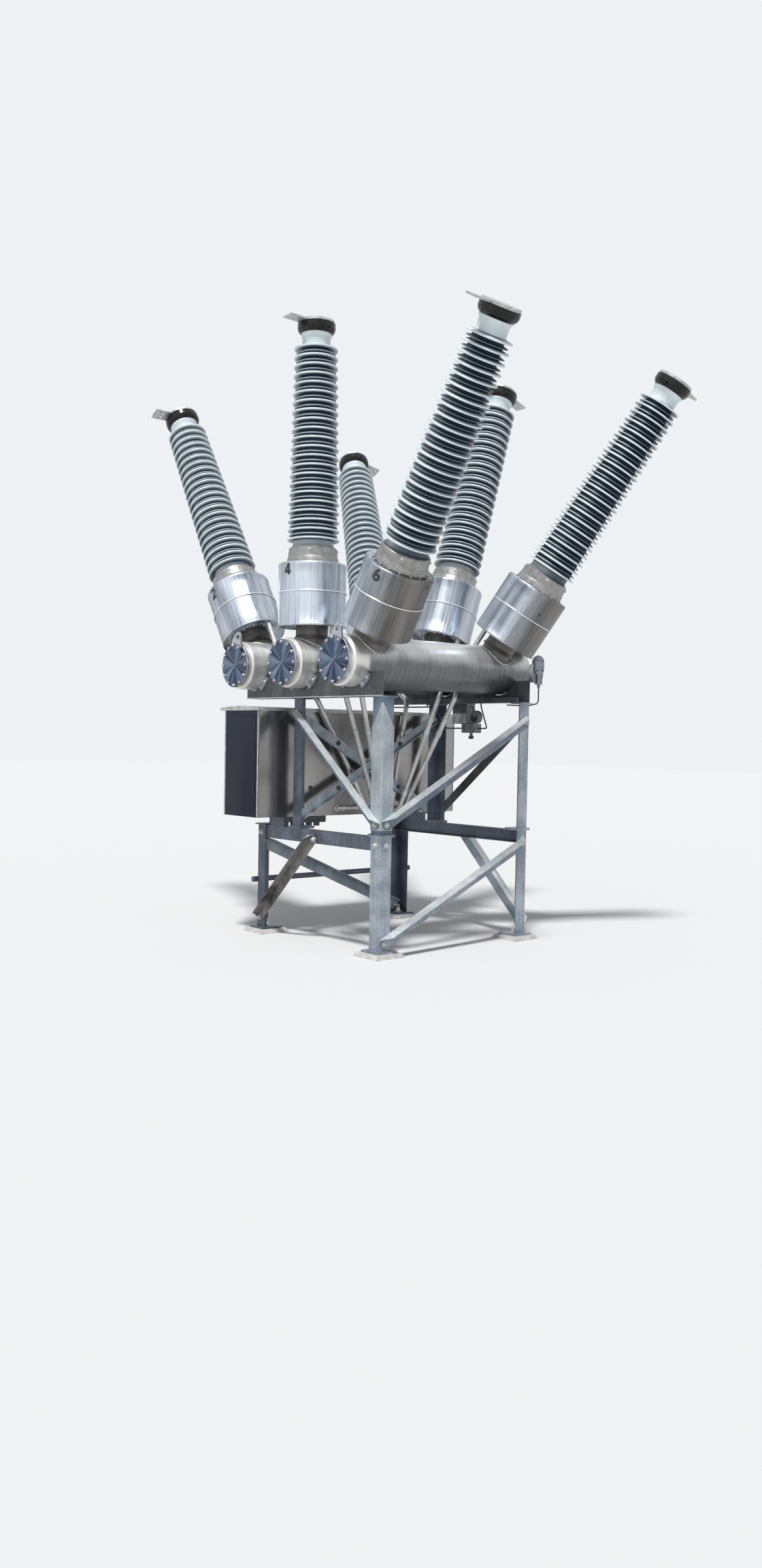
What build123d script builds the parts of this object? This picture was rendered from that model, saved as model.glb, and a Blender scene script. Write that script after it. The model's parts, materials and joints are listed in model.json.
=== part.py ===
from build123d import *
import math
import os

# Dead-tank circuit breaker with three poles on a two-storey steel stand.
# Millimetres. X runs across the poles, Y along the tanks, Z up.
# Front is -Y, where the tanks have their bolted round covers; the drive end is +Y.
# The origin is the centre of the four anchor bolts, on the underside of the grout.

# Feet and lower stand
grout_height = 34.0
grout_size = 300.0
grout_top_size = 240.0
foot_plate = 16.0
foot_plate_size = 200.0
anchor_radius = 13.5
anchor_inset = 62.0
stand_half_x = 811.0
stand_half_y = 828.0
stand_height = 942.0
angle_width = 114.0
angle_wall = 8.0
angle_bend = 9.0
seat_plate = 10.0
seat_plate_size = 150.0
beam_depth = 110.0
beam_flange = 55.0
beam_wall = 6.0
beam_end_gap = 20.0

# Upper frame
frame_left_x = -318.0
doubler_point = 190.0
doubler_top_drop = 40.0
doubler_foot_rise = 30.0

# Braces
brace_wall = 6.0
brace_web = 78.0
brace_flange = 76.0
side_brace_web = 92.0
side_brace_flange = 98.0
cross_brace_flange = 34.0
brace_end = 30.0
brace_corner = 26.0
brace_slope = 0.75
brace_inset = 48.0
brace_foot_rise = 74.0
brace_top_drop = 128.0
side_brace_top_drop = 152.0
stand_side_foot_rise = 56.0
stand_side_top_drop = 109.0
brace_beam_x = -22.0
brace_beam_drop = 76.0
brace_pad = 40.0

# Poles
pole_spacing = 680.0
middle_pole_x = -223.0
tank_rise = 76.0
tank_radius = 205.0
tank_front_y = -985.0
tank_rear_y = 1000.0
tank_edge = 16.0
cover_step = 17.0
cover_thickness = 28.0
cover_neck = 22.0
cover_chamfer = 3.0
nozzle_radius = 132.0
nozzle_weld = 16.0
front_nozzle_y = -729.0
rear_nozzle_y = 635.0
outer_lean = 30.4
rear_lean = 17.4

# Saddle beams
saddle_wall = 8.0
saddle_web = 192.0
saddle_depth = 150.0
saddle_lip = 45.0
saddle_left_x = -1005.0
saddle_clearance = 4.0
lug_thickness = 14.0
lug_depth = 38.0
lug_inner_angle = 27.0
lug_outer_angle = 62.0

# Instrument cans round the nozzles
can_clearance = 97.0
can_height = 521.0
can_radius = 281.0
can_wall = 6.0
can_recess = 34.0
can_seam = 275.0
can_seam_width = 12.0
can_seam_proud = 5.0
can_seam_root = 2.0
fit_gap = 0.3

# Bushings, measured along their own axis from the tank axis
collar_height = 132.0
collar_foot_radius = 211.0
collar_top_radius = 199.0
collar_edge = 8.0
shed_count = 22
shed_pitch = 74.2
first_shed_rise = 69.0
trunk_foot_radius = 170.0
trunk_top_radius = 118.0
shed_foot_radius = 215.0
shed_top_radius = 179.0
shed_rim = 5.0
shed_slope = 20.0
neck_height = 118.0
neck_radius = 116.0
cap_height = 84.0
cap_foot_radius = 130.0
cap_top_radius = 157.0
cap_bulge = 40.0
cap_round = 8.0
terminal_radius = 150.0
terminal_thickness = 22.0
tongue_width = 110.0
tongue_length = 150.0
tongue_thickness = 15.0
tongue_hole_radius = 8.0
tongue_hole_pitch = 45.0

# Lifting lugs on the covers
lifting_lug_reach = 57.0
lifting_lug_foot = 150.0
lifting_lug_foot_drop = 34.0
lifting_lug_head = 42.0
lifting_lug_eye = 25.0
lifting_lug_thickness = 16.0
lifting_lug_turn = 15.0

# Drive end
drive_depth = 300.0
drive_width = 120.0
drive_height = 150.0
drive_disc_radius = 82.0
drive_flange_radius = 116.0
drive_lid_edge = 6.0
drive_disc_thickness = 18.0
drive_shaft_radius = 32.0

# Control cabinet
cabinet_right_x = -430.0
cabinet_width = 500.0
cabinet_front_y = -1106.0
cabinet_rear_y = 1148.0
cabinet_height = 911.0
cabinet_headroom = 91.0
cabinet_corner = 12.0
roof_overhang = 22.0
roof_right_overhang = 18.0
roof_edge = 6.0
roof_wall = 3.0
roof_skirt = 20.0
roof_rise = 14.0
door_thickness = 18.0
door_margin = 30.0
door_gap = 8.0
support_height = 83.0
support_width = 50.0
support_inset = 20.0

# Side strut
strut_radius = 24.0
strut_height = 450.0
strut_front_y = -860.0
strut_rear_y = 965.0
clamp_thickness = 14.0
clamp_length = 60.0
clamp_height = 90.0

# Conduits from the instrument cans to the cabinet
conduit_radius = 22.0
conduit_port = 243.0
conduit_tank_gap = 5.0
conduit_drop_rise = 23.0
outer_elbow = 46.0
inner_elbow = 90.0
bend_share = 0.45
bend_most = 5.0
conduit_end_rise = 45.0
conduit_end_pitch = 58.0
front_conduit_y = -550.0
front_conduit_end_y = 50.0
rear_conduit_y = 500.0
rear_conduit_end_y = 330.0

# Gland box under the cabinet
gland_box_width = 160.0
gland_box_length = 340.0
gland_box_height = 70.0
gland_box_y = -420.0
gland_radius = 28.0
gland_height = 36.0
gland_count = 4

# Gas density monitor and its pipes
monitor_reach = 451.0
monitor_width = 182.0
monitor_height = 180.0
monitor_depth = 100.0
monitor_inset = 28.0
gauge_radius = 55.0
gauge_depth = 45.0
gauge_offset_x = 271.0
gauge_drop = 121.0
gauge_neck = 30.0
manifold_width = 165.0
manifold_height = 80.0
manifold_depth = 80.0
manifold_offset_x = 107.0
valve_radius = 14.0
valve_length = 55.0
gas_pipe_radius = 6.0
gas_pipe_drop = 32.0
gas_pipe_lead = 110.0
gas_tap_inset = 228.0
gas_header_reach = 90.0

# Levels and places that follow
leg_bottom = grout_height + foot_plate
leg_top = stand_height - seat_plate
frame_bottom = stand_height + seat_plate
cabinet_bottom = leg_top + support_height
cabinet_top = cabinet_bottom + cabinet_height
frame_top = cabinet_top + cabinet_headroom
frame_leg_top = frame_top - seat_plate
saddle_top = frame_top + saddle_web
tank_bottom = frame_top + tank_rise
tank_axis_z = tank_bottom + tank_radius
cover_radius = tank_radius - cover_step
can_start = tank_radius + can_clearance
collar_start = can_start + can_height
bushing_start = collar_start + collar_height
first_shed = bushing_start + first_shed_rise
last_shed = first_shed + (shed_count - 1) * shed_pitch
neck_start = last_shed + shed_rim
cap_start = neck_start + neck_height
terminal_start = cap_start + cap_height
pole_xs = [middle_pole_x + k * pole_spacing for k in (-1, 0, 1)]
monitor_x = pole_xs[2] - monitor_reach


def box_between(low, high):
    """Box from its lowest to its highest corner."""
    size = [b - a for a, b in zip(low, high)]
    return Pos(*low) * Box(*size, align=(Align.MIN, Align.MIN, Align.MIN))


def ring(outer, inner, start, length):
    """Tube along Z from start, with its own bore."""
    tube = Cylinder(outer, length, align=(Align.CENTER, Align.CENTER, Align.MIN))
    tube -= Cylinder(inner, length, align=(Align.CENTER, Align.CENTER, Align.MIN))
    return Pos(0, 0, start) * tube


def rod(radius, start, length):
    """Round bar along Z from start."""
    bar = Cylinder(radius, length, align=(Align.CENTER, Align.CENTER, Align.MIN))
    return Pos(0, 0, start) * bar


def corner_frame(x, y, side_x, side_y):
    """Plane at a leg's outer corner whose X and Y run along its two flanges."""
    if side_x * side_y > 0:
        return Plane(origin=(x, y, 0), x_dir=(-side_x, 0, 0), z_dir=(0, 0, 1))
    return Plane(origin=(x, y, 0), x_dir=(0, -side_y, 0), z_dir=(0, 0, 1))


def bent_angle(low, high):
    """Angle bent from plate, its outer corner on the Z axis, rounded at the bend."""
    outline = Rectangle(angle_width, angle_width, align=(Align.MIN, Align.MIN))
    hollow = Rectangle(angle_width, angle_width, align=(Align.MIN, Align.MIN))
    outline -= Pos(angle_wall, angle_wall) * hollow
    heel = outline.vertices().sort_by_distance((0, 0, 0))
    outline = fillet([heel[0]], angle_bend)
    return Pos(0, 0, low) * extrude(outline, high - low)


def leg_plate(size, inset, low, thickness):
    """Square plate under or over an angle, a little proud of its outer faces."""
    plate = Box(size, size, thickness, align=(Align.MIN, Align.MIN, Align.MIN))
    return Pos(-inset, -inset, low) * plate


def stand_leg(side_x, side_y):
    """Lower leg: bent angle with a drilled foot plate and a seat plate on top."""
    leg = bent_angle(leg_bottom, leg_top)
    foot_inset = (foot_plate_size - angle_width) / 2
    leg += leg_plate(foot_plate_size, foot_inset, grout_height, foot_plate)
    leg += leg_plate(seat_plate_size, (seat_plate_size - angle_width) / 2, leg_top, seat_plate)
    leg -= Pos(anchor_inset, anchor_inset) * rod(anchor_radius, grout_height, foot_plate)
    return corner_frame(side_x * stand_half_x, side_y * stand_half_y, side_x, side_y) * leg


def grout_pad(side_x, side_y):
    """Sloped grout under one foot plate, with the anchor bolt's hole."""
    middle = angle_width / 2
    top = Pos(0, 0, grout_height) * Rectangle(grout_top_size, grout_top_size)
    pad = loft([Rectangle(grout_size, grout_size), top])
    pad = Pos(middle, middle, 0) * pad
    pad -= Pos(anchor_inset, anchor_inset) * rod(anchor_radius, 0, grout_height)
    return corner_frame(side_x * stand_half_x, side_y * stand_half_y, side_x, side_y) * pad


def stand_beam(side_y):
    """Channel between two lower legs, open inwards, with a seat for the upper leg."""
    reach = stand_half_x - angle_wall - beam_end_gap
    face = stand_half_y - angle_wall
    bar = box_between((-reach, face - beam_flange, leg_top - beam_depth), (reach, face, leg_top))
    hollow_low = (-reach, face - beam_flange, leg_top - beam_depth + beam_wall)
    bar -= box_between(hollow_low, (reach, face - beam_wall, leg_top - beam_wall))
    seat_margin = (seat_plate_size - angle_width) / 2
    seat_x = frame_left_x - seat_margin
    seat_y = stand_half_y + seat_margin
    seat_low = (seat_x, seat_y - seat_plate_size, leg_top)
    bar += box_between(seat_low, (seat_x + seat_plate_size, seat_y, stand_height))
    return bar if side_y > 0 else mirror(bar, Plane.XZ)


def frame_leg(x, side_x, side_y):
    """Upper leg: bent angle with a plate at its foot and its head."""
    margin = (seat_plate_size - angle_width) / 2
    leg = bent_angle(frame_bottom, frame_leg_top)
    leg += leg_plate(seat_plate_size, margin, stand_height, seat_plate)
    leg += leg_plate(angle_width + margin, margin, frame_leg_top, seat_plate)
    return corner_frame(x, side_y * stand_half_y, side_x, side_y) * leg


def frame_doubler():
    """Stiffening angle outside the front right leg, pointed at its top corner."""
    low = frame_bottom + doubler_foot_rise
    high = frame_leg_top - doubler_top_drop
    width = angle_width + angle_wall
    outline = Rectangle(width, width, align=(Align.MIN, Align.MIN))
    hollow = Rectangle(width, width, align=(Align.MIN, Align.MIN))
    outline -= Pos(angle_wall, angle_wall) * hollow
    heel = outline.vertices().sort_by_distance((0, 0, 0))
    outline = fillet([heel[0]], angle_bend)
    doubler = Pos(0, 0, low) * extrude(outline, high - low)
    for plane in (Plane.XZ, Plane.YZ):
        cut = Polygon((angle_bend, high), (width, high), (width, high - doubler_point), align=None)
        doubler -= extrude(plane * cut, width, both=True)
    shift = Pos(-angle_wall, -angle_wall, 0)
    return corner_frame(stand_half_x, -stand_half_y, 1, -1) * shift * doubler


def brace(start, end, outward, web, flange, heel_up=True, pack_start=0.0, pack_end=0.0):
    """Angle bolted flat by its web; the flange stands on the heel and slopes away at both ends."""
    first, last = Vector(*start), Vector(*end)
    length = (last - first).length
    place = Plane(origin=first, x_dir=(last - first), z_dir=outward)
    heel = math.copysign(web / 2, 1 if (place.y_dir.Z > 0) == heel_up else -1)
    corner = math.copysign(brace_corner, heel)
    low, high, slope = -brace_end, length + brace_end, brace_slope * flange
    web_outline = Polygon(
        (low, heel), (high, heel), (high, corner - heel), (high - brace_corner, -heel),
        (low + brace_corner, -heel), (low, corner - heel), align=None
    )
    flange_outline = Polygon((low, 0), (high, 0), (high - slope, flange), (low + slope, flange), align=None)
    body = extrude(web_outline, brace_wall, dir=(0, 0, 1))
    inward = (0, -math.copysign(1, heel), 0)
    body += Pos(0, heel, 0) * extrude(Plane.XZ * flange_outline, brace_wall, dir=inward)
    for along, depth in ((0, pack_start), (length, pack_end)):
        if depth:
            body += Pos(along, 0, -depth) * extrude(Rectangle(brace_pad, brace_pad), depth)
    return place * body


def stand_braces():
    """One diagonal on each side of the lower stand; the left one sits inside its legs, below the beam."""
    low, side_low = leg_bottom + brace_foot_rise, leg_bottom + stand_side_foot_rise
    foot_x, foot_y = stand_half_x - brace_inset, stand_half_y - brace_inset
    beam_z, side_high = leg_top - brace_beam_drop, leg_top - stand_side_top_drop
    inner_x, inner_high = angle_wall - stand_half_x, leg_top - beam_depth - side_brace_web / 2 - brace_wall
    size, side_size = (brace_web, brace_flange), (side_brace_web, side_brace_flange)
    front = brace((brace_beam_x, -stand_half_y, beam_z), (-foot_x, -stand_half_y, low), (0, -1, 0), *size,
                  pack_start=angle_wall)
    rear = brace((-brace_beam_x, stand_half_y, beam_z), (foot_x, stand_half_y, low), (0, 1, 0), *size,
                 pack_start=angle_wall)
    right = brace((stand_half_x, -foot_y, side_low), (stand_half_x, foot_y, side_high), (1, 0, 0), *side_size)
    inner_y = foot_y - angle_wall
    left = brace((inner_x, inner_y, side_low), (inner_x, -inner_y, inner_high), (1, 0, 0), *side_size)
    return front, rear, right, left


def frame_braces():
    """Diagonals on the front, right and rear of the upper frame."""
    low, high = frame_bottom + brace_foot_rise, frame_leg_top - brace_top_drop
    side_high = frame_leg_top - side_brace_top_drop
    right_x, left_x = stand_half_x - brace_inset, frame_left_x + brace_inset
    reach_y = stand_half_y - brace_inset
    skin_y, skin_x = stand_half_y + angle_wall, stand_half_x + angle_wall
    size, side_size = (brace_web, brace_flange), (side_brace_web, side_brace_flange)
    front = brace((right_x, -skin_y, low), (left_x, -skin_y, high), (0, -1, 0), *size, pack_end=angle_wall)
    right = brace((skin_x, -reach_y, low), (skin_x, reach_y, side_high), (1, 0, 0), *side_size,
                  pack_end=angle_wall)
    rear = brace((left_x, stand_half_y, low), (right_x, stand_half_y, high), (0, 1, 0), *size)
    return front, right, rear


def cross_brace():
    """Crossed pair on the left of the upper frame, one outside the flanges and one inside."""
    low, high = frame_bottom + brace_foot_rise, frame_leg_top - brace_top_drop
    reach_y = stand_half_y - brace_inset
    inner_x = frame_left_x + angle_wall
    size = (brace_web, cross_brace_flange)
    left_x = frame_left_x
    outside = brace((left_x, -reach_y, high), (left_x, reach_y, low), (-1, 0, 0), *size, heel_up=False)
    inner_y = reach_y - angle_wall
    inside = brace((inner_x, -inner_y, low), (inner_x, inner_y, high), (1, 0, 0), *size, heel_up=False)
    packing = Box(angle_wall, brace_pad, brace_pad, align=(Align.MIN, Align.CENTER, Align.CENTER))
    return outside, inside + Pos(left_x, 0, (low + high) / 2) * packing


def saddle_beam(side_y):
    """Bent plate across the frame: a tall web scalloped for the tanks, a floor and a low lip."""
    face = stand_half_y
    back = face - saddle_depth
    floor_top, lip_top = frame_top + saddle_wall, frame_top + saddle_lip
    section = Polygon(
        (face, frame_top), (face, saddle_top), (face - saddle_wall, saddle_top),
        (face - saddle_wall, floor_top), (back + saddle_wall, floor_top),
        (back + saddle_wall, lip_top), (back, lip_top), (back, frame_top), align=None
    )
    beam = Pos(saddle_left_x, 0, 0) * extrude(Plane.YZ * section, stand_half_x - saddle_left_x)
    for x in pole_xs:
        scallop = Cylinder(tank_radius + saddle_clearance, 4 * saddle_wall, rotation=(90, 0, 0))
        beam -= Pos(x, face, tank_axis_z) * scallop
    return beam if side_y > 0 else mirror(beam, Plane.XZ)


def bushing_axis(x, y, lean_side, lean_rear):
    """Plane at the tank axis whose Z runs up a bushing."""
    tilt_x = math.tan(math.radians(outer_lean)) * lean_side
    tilt_y = math.tan(math.radians(rear_lean)) * lean_rear
    return Plane(origin=(x, y, tank_axis_z), x_dir=(1, 0, -tilt_x), z_dir=(tilt_x, tilt_y, 1))


def nozzle_places():
    """Number and plane of each bushing: even ones in front, odd ones at the rear."""
    places = []
    for index, x in enumerate(pole_xs):
        places.append((2 * index + 1, bushing_axis(x, rear_nozzle_y, index - 1, 1)))
        places.append((2 * index + 2, bushing_axis(x, front_nozzle_y, index - 1, 0)))
    return places


def nozzle(index, place):
    """Leaning nozzle with a welded foot, cut to sit on the barrel."""
    body = place * rod(nozzle_radius, 0, collar_start)
    foot = Cone(nozzle_radius + nozzle_weld, nozzle_radius, 2 * nozzle_weld,
                align=(Align.CENTER, Align.CENTER, Align.MIN))
    body += place * (Pos(0, 0, tank_radius) * foot)
    span = tank_rear_y - tank_front_y
    seat = Cylinder(tank_radius + fit_gap, span, align=(Align.CENTER, Align.CENTER, Align.MIN))
    return body - Pos(pole_xs[index], tank_front_y, tank_axis_z) * Rot(-90, 0, 0) * seat


def tank(index):
    """One pole's enclosure: a barrel with rounded ends and the neck that carries its cover."""
    length = tank_rear_y - tank_front_y
    barrel = Cylinder(tank_radius, length, align=(Align.CENTER, Align.CENTER, Align.MIN))
    barrel = fillet(barrel.edges().filter_by(GeomType.CIRCLE), tank_edge)
    front_neck = rod(cover_radius, -cover_neck, cover_neck + tank_edge)
    return Pos(pole_xs[index], tank_front_y, tank_axis_z) * Rot(-90, 0, 0) * (barrel + front_neck)


def tank_lugs():
    """Curved feet that hold the tanks to the outer face of the saddle webs, none past the webs' left end."""
    outline = Circle(tank_radius + lug_depth) - Circle(tank_radius)
    reach = 2 * (tank_radius + lug_depth)
    lugs = []
    for x in pole_xs:
        for side_x in (-1, 1):
            slopes = [math.radians(side_x * angle) for angle in (lug_inner_angle, lug_outer_angle)]
            if x + tank_radius * math.sin(slopes[1]) < saddle_left_x:
                continue
            rays = [(reach * math.sin(slope), -reach * math.cos(slope)) for slope in slopes]
            lug = extrude(Plane.XZ * (outline & Polygon((0, 0), *rays, align=None)), lug_thickness)
            lugs.append(Pos(x, -stand_half_y, tank_axis_z) * lug)
            lugs.append(Pos(x, stand_half_y + lug_thickness, tank_axis_z) * lug)
    return lugs


def cover(index):
    """Round bolted cover; the outer poles carry a drop-shaped lifting lug over two of its bolts."""
    face_y = tank_front_y - cover_neck
    disc = Cylinder(cover_radius, cover_thickness, align=(Align.CENTER, Align.CENTER, Align.MIN))
    disc = chamfer(disc.edges().filter_by(GeomType.CIRCLE).group_by(Axis.Z)[-1], cover_chamfer)
    body = Pos(pole_xs[index], face_y, tank_axis_z) * Rot(90, 0, 0) * disc
    if index != 1:
        eye_z = cover_radius + lifting_lug_reach
        head = Pos(0, eye_z) * Circle(lifting_lug_head)
        foot_z = cover_radius - lifting_lug_foot_drop
        foot = Pos(0, foot_z) * Rectangle(lifting_lug_foot, lifting_lug_foot_drop)
        lug = make_hull(head.edges() + foot.edges()) - Pos(0, eye_z) * Circle(lifting_lug_eye)
        plate = extrude(Plane.XZ * (Rot(0, 0, -lifting_lug_turn) * lug), lifting_lug_thickness)
        body += Pos(pole_xs[index], face_y - cover_thickness, tank_axis_z) * plate
    return body


def instrument_can():
    """Cylindrical can with a raised seam ring, a closed top and a recessed underside."""
    body = ring(can_radius, nozzle_radius + fit_gap, can_start, can_height)
    body -= ring(can_radius - can_wall, nozzle_radius, can_start, can_recess)
    body += ring(can_radius + can_seam_proud, can_radius - can_seam_root, can_start + can_seam, can_seam_width)
    return body


def collar():
    """Flange between can and bushing, slightly conical, with a bevelled top edge."""
    body = Cone(collar_foot_radius, collar_top_radius, collar_height,
                align=(Align.CENTER, Align.CENTER, Align.MIN))
    body = chamfer(body.edges().filter_by(GeomType.CIRCLE).group_by(Axis.Z)[-1], collar_edge)
    return Pos(0, 0, collar_start) * body


def shed_column():
    """Tapered insulator turned from one profile: a trunk with sheds and a plain neck."""
    span = last_shed - first_shed
    points = [(0, bushing_start), (trunk_foot_radius, bushing_start)]
    for k in range(shed_count):
        share = k / (shed_count - 1)
        trunk = trunk_foot_radius + share * (trunk_top_radius - trunk_foot_radius)
        tip = shed_foot_radius + share * (shed_top_radius - shed_foot_radius)
        height = first_shed + share * span
        points.append((trunk, height - shed_rim))
        points.append((tip, height - shed_rim))
        points.append((trunk, height + shed_slope))
    points.append((neck_radius, neck_start + shed_slope))
    points.append((neck_radius, cap_start))
    points.append((0, cap_start))
    return revolve(Plane.XZ * Polygon(*points, align=None), Axis.Z)


def cap():
    """Bowl-shaped metal cap, wider at the top."""
    profile = Polygon(
        (0, cap_start), (cap_foot_radius, cap_start), (cap_top_radius - cap_round, cap_start + cap_bulge / 2),
        (cap_top_radius, cap_start + cap_bulge), (cap_top_radius, terminal_start), (0, terminal_start),
        align=None
    )
    return revolve(Plane.XZ * profile, Axis.Z)


def terminal(lead):
    """Round top plate with a drilled tongue that points to the line side."""
    plate = rod(terminal_radius, terminal_start, terminal_thickness)
    tongue_reach = terminal_radius + tongue_length
    tongue = box_between((-tongue_width / 2, 0, 0), (tongue_width / 2, tongue_reach, tongue_thickness))
    for dx in (-0.5, 0.5):
        for dy in (-0.5, 0.5):
            hole = rod(tongue_hole_radius, 0, terminal_thickness)
            centre_y = tongue_reach - tongue_width / 2 + dy * tongue_hole_pitch
            tongue -= Pos(dx * tongue_hole_pitch, centre_y, 0) * hole
    tongue = Rot(0, 0, 0 if lead > 0 else 180) * tongue
    return plate + Pos(0, 0, terminal_start) * tongue


def drive_housing(index):
    """Crank housing behind one tank, round in side view, with a side cover."""
    x = pole_xs[index]
    middle_y = tank_rear_y + drive_depth - drive_disc_radius
    block = Box(drive_width, drive_depth - drive_disc_radius, drive_height,
                align=(Align.CENTER, Align.MIN, Align.CENTER))
    body = Pos(x, tank_rear_y, tank_axis_z) * block
    body += Pos(x, middle_y, tank_axis_z) * Rot(0, 90, 0) * Cylinder(drive_disc_radius, drive_width)
    flange = rod(drive_flange_radius, 0, drive_disc_thickness)
    body += Pos(x, tank_rear_y, tank_axis_z) * Rot(-90, 0, 0) * flange
    if index == 2:
        lid = rod(drive_disc_radius + drive_lid_edge, 0, drive_disc_thickness)
        body += Pos(x + drive_width / 2, middle_y, tank_axis_z) * Rot(0, 90, 0) * lid
    return body


def drive_shaft():
    """Tubes that join the three crank housings."""
    middle_y = tank_rear_y + drive_depth - drive_disc_radius
    tubes = []
    for index in (0, 1):
        begin = pole_xs[index] + drive_width / 2
        span = pole_spacing - drive_width
        tubes.append(Pos(begin, middle_y, tank_axis_z) * Rot(0, 90, 0) * rod(drive_shaft_radius, 0, span))
    return tubes


def cabinet():
    """Tall narrow control cabinet along the left side, with two doors on its outer face."""
    left = cabinet_right_x - cabinet_width
    low, high = (left, cabinet_front_y, cabinet_bottom), (cabinet_right_x, cabinet_rear_y, cabinet_top)
    body = box_between(low, high)
    body = fillet(body.edges().filter_by(Axis.Z), cabinet_corner)
    door_length = (cabinet_rear_y - cabinet_front_y - 2 * door_margin - door_gap) / 2
    for low_y in (cabinet_front_y + door_margin, cabinet_rear_y - door_margin - door_length):
        low = (left - door_thickness, low_y, cabinet_bottom + door_margin)
        body += box_between(low, (left, low_y + door_length, cabinet_top - door_margin - roof_skirt))
    return body


def cabinet_roof():
    """Thin folded roof with a skirt and a low ridge along its length."""
    left = cabinet_right_x - cabinet_width - roof_overhang - door_thickness
    right = cabinet_right_x + roof_right_overhang
    eave = cabinet_top + roof_edge
    gable = Polygon((left, cabinet_top), (right, cabinet_top), (right, eave),
                    ((left + right) / 2, eave + roof_rise), (left, eave), align=None)
    front, rear = cabinet_front_y - roof_overhang, cabinet_rear_y + roof_overhang
    top = Pos(0, rear, 0) * extrude(Plane.XZ * gable, rear - front)
    skirt_low = cabinet_top - roof_skirt
    skirt = box_between((left, front, skirt_low), (right, rear, cabinet_top))
    skirt -= box_between((left + roof_wall, front + roof_wall, skirt_low),
                         (right - roof_wall, rear - roof_wall, cabinet_top))
    return top + skirt


def cabinet_supports():
    """Two cross bars that carry the cabinet on the stand's beams."""
    bars = []
    for side_y in (-1, 1):
        middle = side_y * (stand_half_y - angle_wall - beam_flange / 2)
        low = (seat_plate_size - stand_half_x, middle - support_width / 2, leg_top)
        high = (cabinet_right_x - support_inset, middle + support_width / 2, cabinet_bottom)
        bars.append(box_between(low, high))
    return bars


def side_strut():
    """Round bar clamped outside the two left lower legs."""
    x = -stand_half_x - strut_radius
    bar = rod(strut_radius, 0, strut_rear_y - strut_front_y)
    body = Pos(x, strut_front_y, strut_height) * Rot(-90, 0, 0) * bar
    for side_y in (-1, 1):
        y = side_y * (stand_half_y - angle_width / 2)
        clamp = Box(clamp_thickness, clamp_length, clamp_height,
                    align=(Align.MAX, Align.CENTER, Align.CENTER))
        body += Pos(-stand_half_x, y, strut_height) * clamp
    return body


def tube(points, radius):
    """Round tube along straight runs joined by arcs as wide as the runs allow."""
    corners = [Vector(*point) for point in points]
    bends = []
    for before, corner, after in zip(corners, corners[1:], corners[2:]):
        shorter = min((corner - before).length, (after - corner).length)
        half_turn = math.radians((corner - before).get_angle(after - corner)) / 2
        bends.append(min(bend_share * shorter / math.tan(half_turn), bend_most * radius))
    path = FilletPolyline(*corners, radius=bends)
    start = Plane(origin=path @ 0, z_dir=path % 0)
    return sweep(start * Circle(radius), path=path)


def conduit(number, place):
    """Conduit from a can's underside, past its tank and down to the cabinet's face."""
    index = (number - 1) // 2
    rear = number % 2 == 1
    side = -1 if index == 2 else 1
    beside = tank_radius + conduit_radius + conduit_tank_gap
    across, along = abs(place.x_dir.X), abs(place.z_dir.X)
    level = (conduit_port * across - beside) / along if index != 1 else 0
    start = place.from_local_coords(Vector(side * conduit_port, 0, can_start + can_recess))
    turn = place.from_local_coords(Vector(side * conduit_port, 0, level))
    beside_x = turn.X
    run_y = rear_conduit_y if rear else front_conduit_y
    end_y = (rear_conduit_end_y if rear else front_conduit_end_y) + index * conduit_end_pitch
    elbow_x = cabinet_right_x + (outer_elbow if index == 0 else inner_elbow)
    low_x = max(beside_x, elbow_x)
    drop_z, end_z = frame_top + conduit_drop_rise, cabinet_bottom + conduit_end_rise
    points = [
        start, turn, (beside_x, (turn.Y + run_y) / 2, tank_axis_z - tank_radius / 2),
        (low_x, run_y, drop_z), (elbow_x, end_y, end_z), (cabinet_right_x, end_y, end_z),
    ]
    return tube(points, conduit_radius)


def gland_box():
    """Box under the cabinet's floor with a row of cable glands."""
    x = cabinet_right_x - cabinet_width / 2
    half = gland_box_length / 2
    low = (x - gland_box_width / 2, gland_box_y - half, cabinet_bottom - gland_box_height)
    body = box_between(low, (x + gland_box_width / 2, gland_box_y + half, cabinet_bottom))
    pitch = gland_box_length / gland_count
    for k in range(gland_count):
        gland_y = gland_box_y + (k - (gland_count - 1) / 2) * pitch
        body += Pos(x, gland_y, 0) * rod(gland_radius, low[2] - gland_height, gland_height)
    return body


def gas_monitor():
    """Density monitor under the rear saddle beam: switch box, round gauge and valve block."""
    y = stand_half_y - monitor_inset - monitor_depth
    low_z = frame_top - monitor_height
    body = box_between((monitor_x, y, low_z), (monitor_x + monitor_width, y + monitor_depth, frame_top))
    block_x = monitor_x + manifold_offset_x
    block_y = y + (monitor_depth - manifold_depth) / 2
    block_low = (block_x, block_y, low_z - manifold_height)
    body += box_between(block_low, (block_x + manifold_width, block_y + manifold_depth, low_z))
    middle_y = y + monitor_depth / 2
    gauge_z = frame_top - gauge_drop
    neck_x = block_x + manifold_width - 2 * gauge_neck
    body += box_between((neck_x, middle_y - gauge_neck / 2, low_z),
                        (neck_x + gauge_neck, middle_y + gauge_neck / 2, gauge_z))
    gauge = Rot(90, 0, 0) * rod(gauge_radius, 0, gauge_depth)
    body += Pos(monitor_x + gauge_offset_x, middle_y, gauge_z) * gauge
    valve = rod(valve_radius, low_z - manifold_height - valve_length, valve_length)
    return body + Pos(block_x + manifold_width / 2, middle_y, 0) * valve


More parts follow.
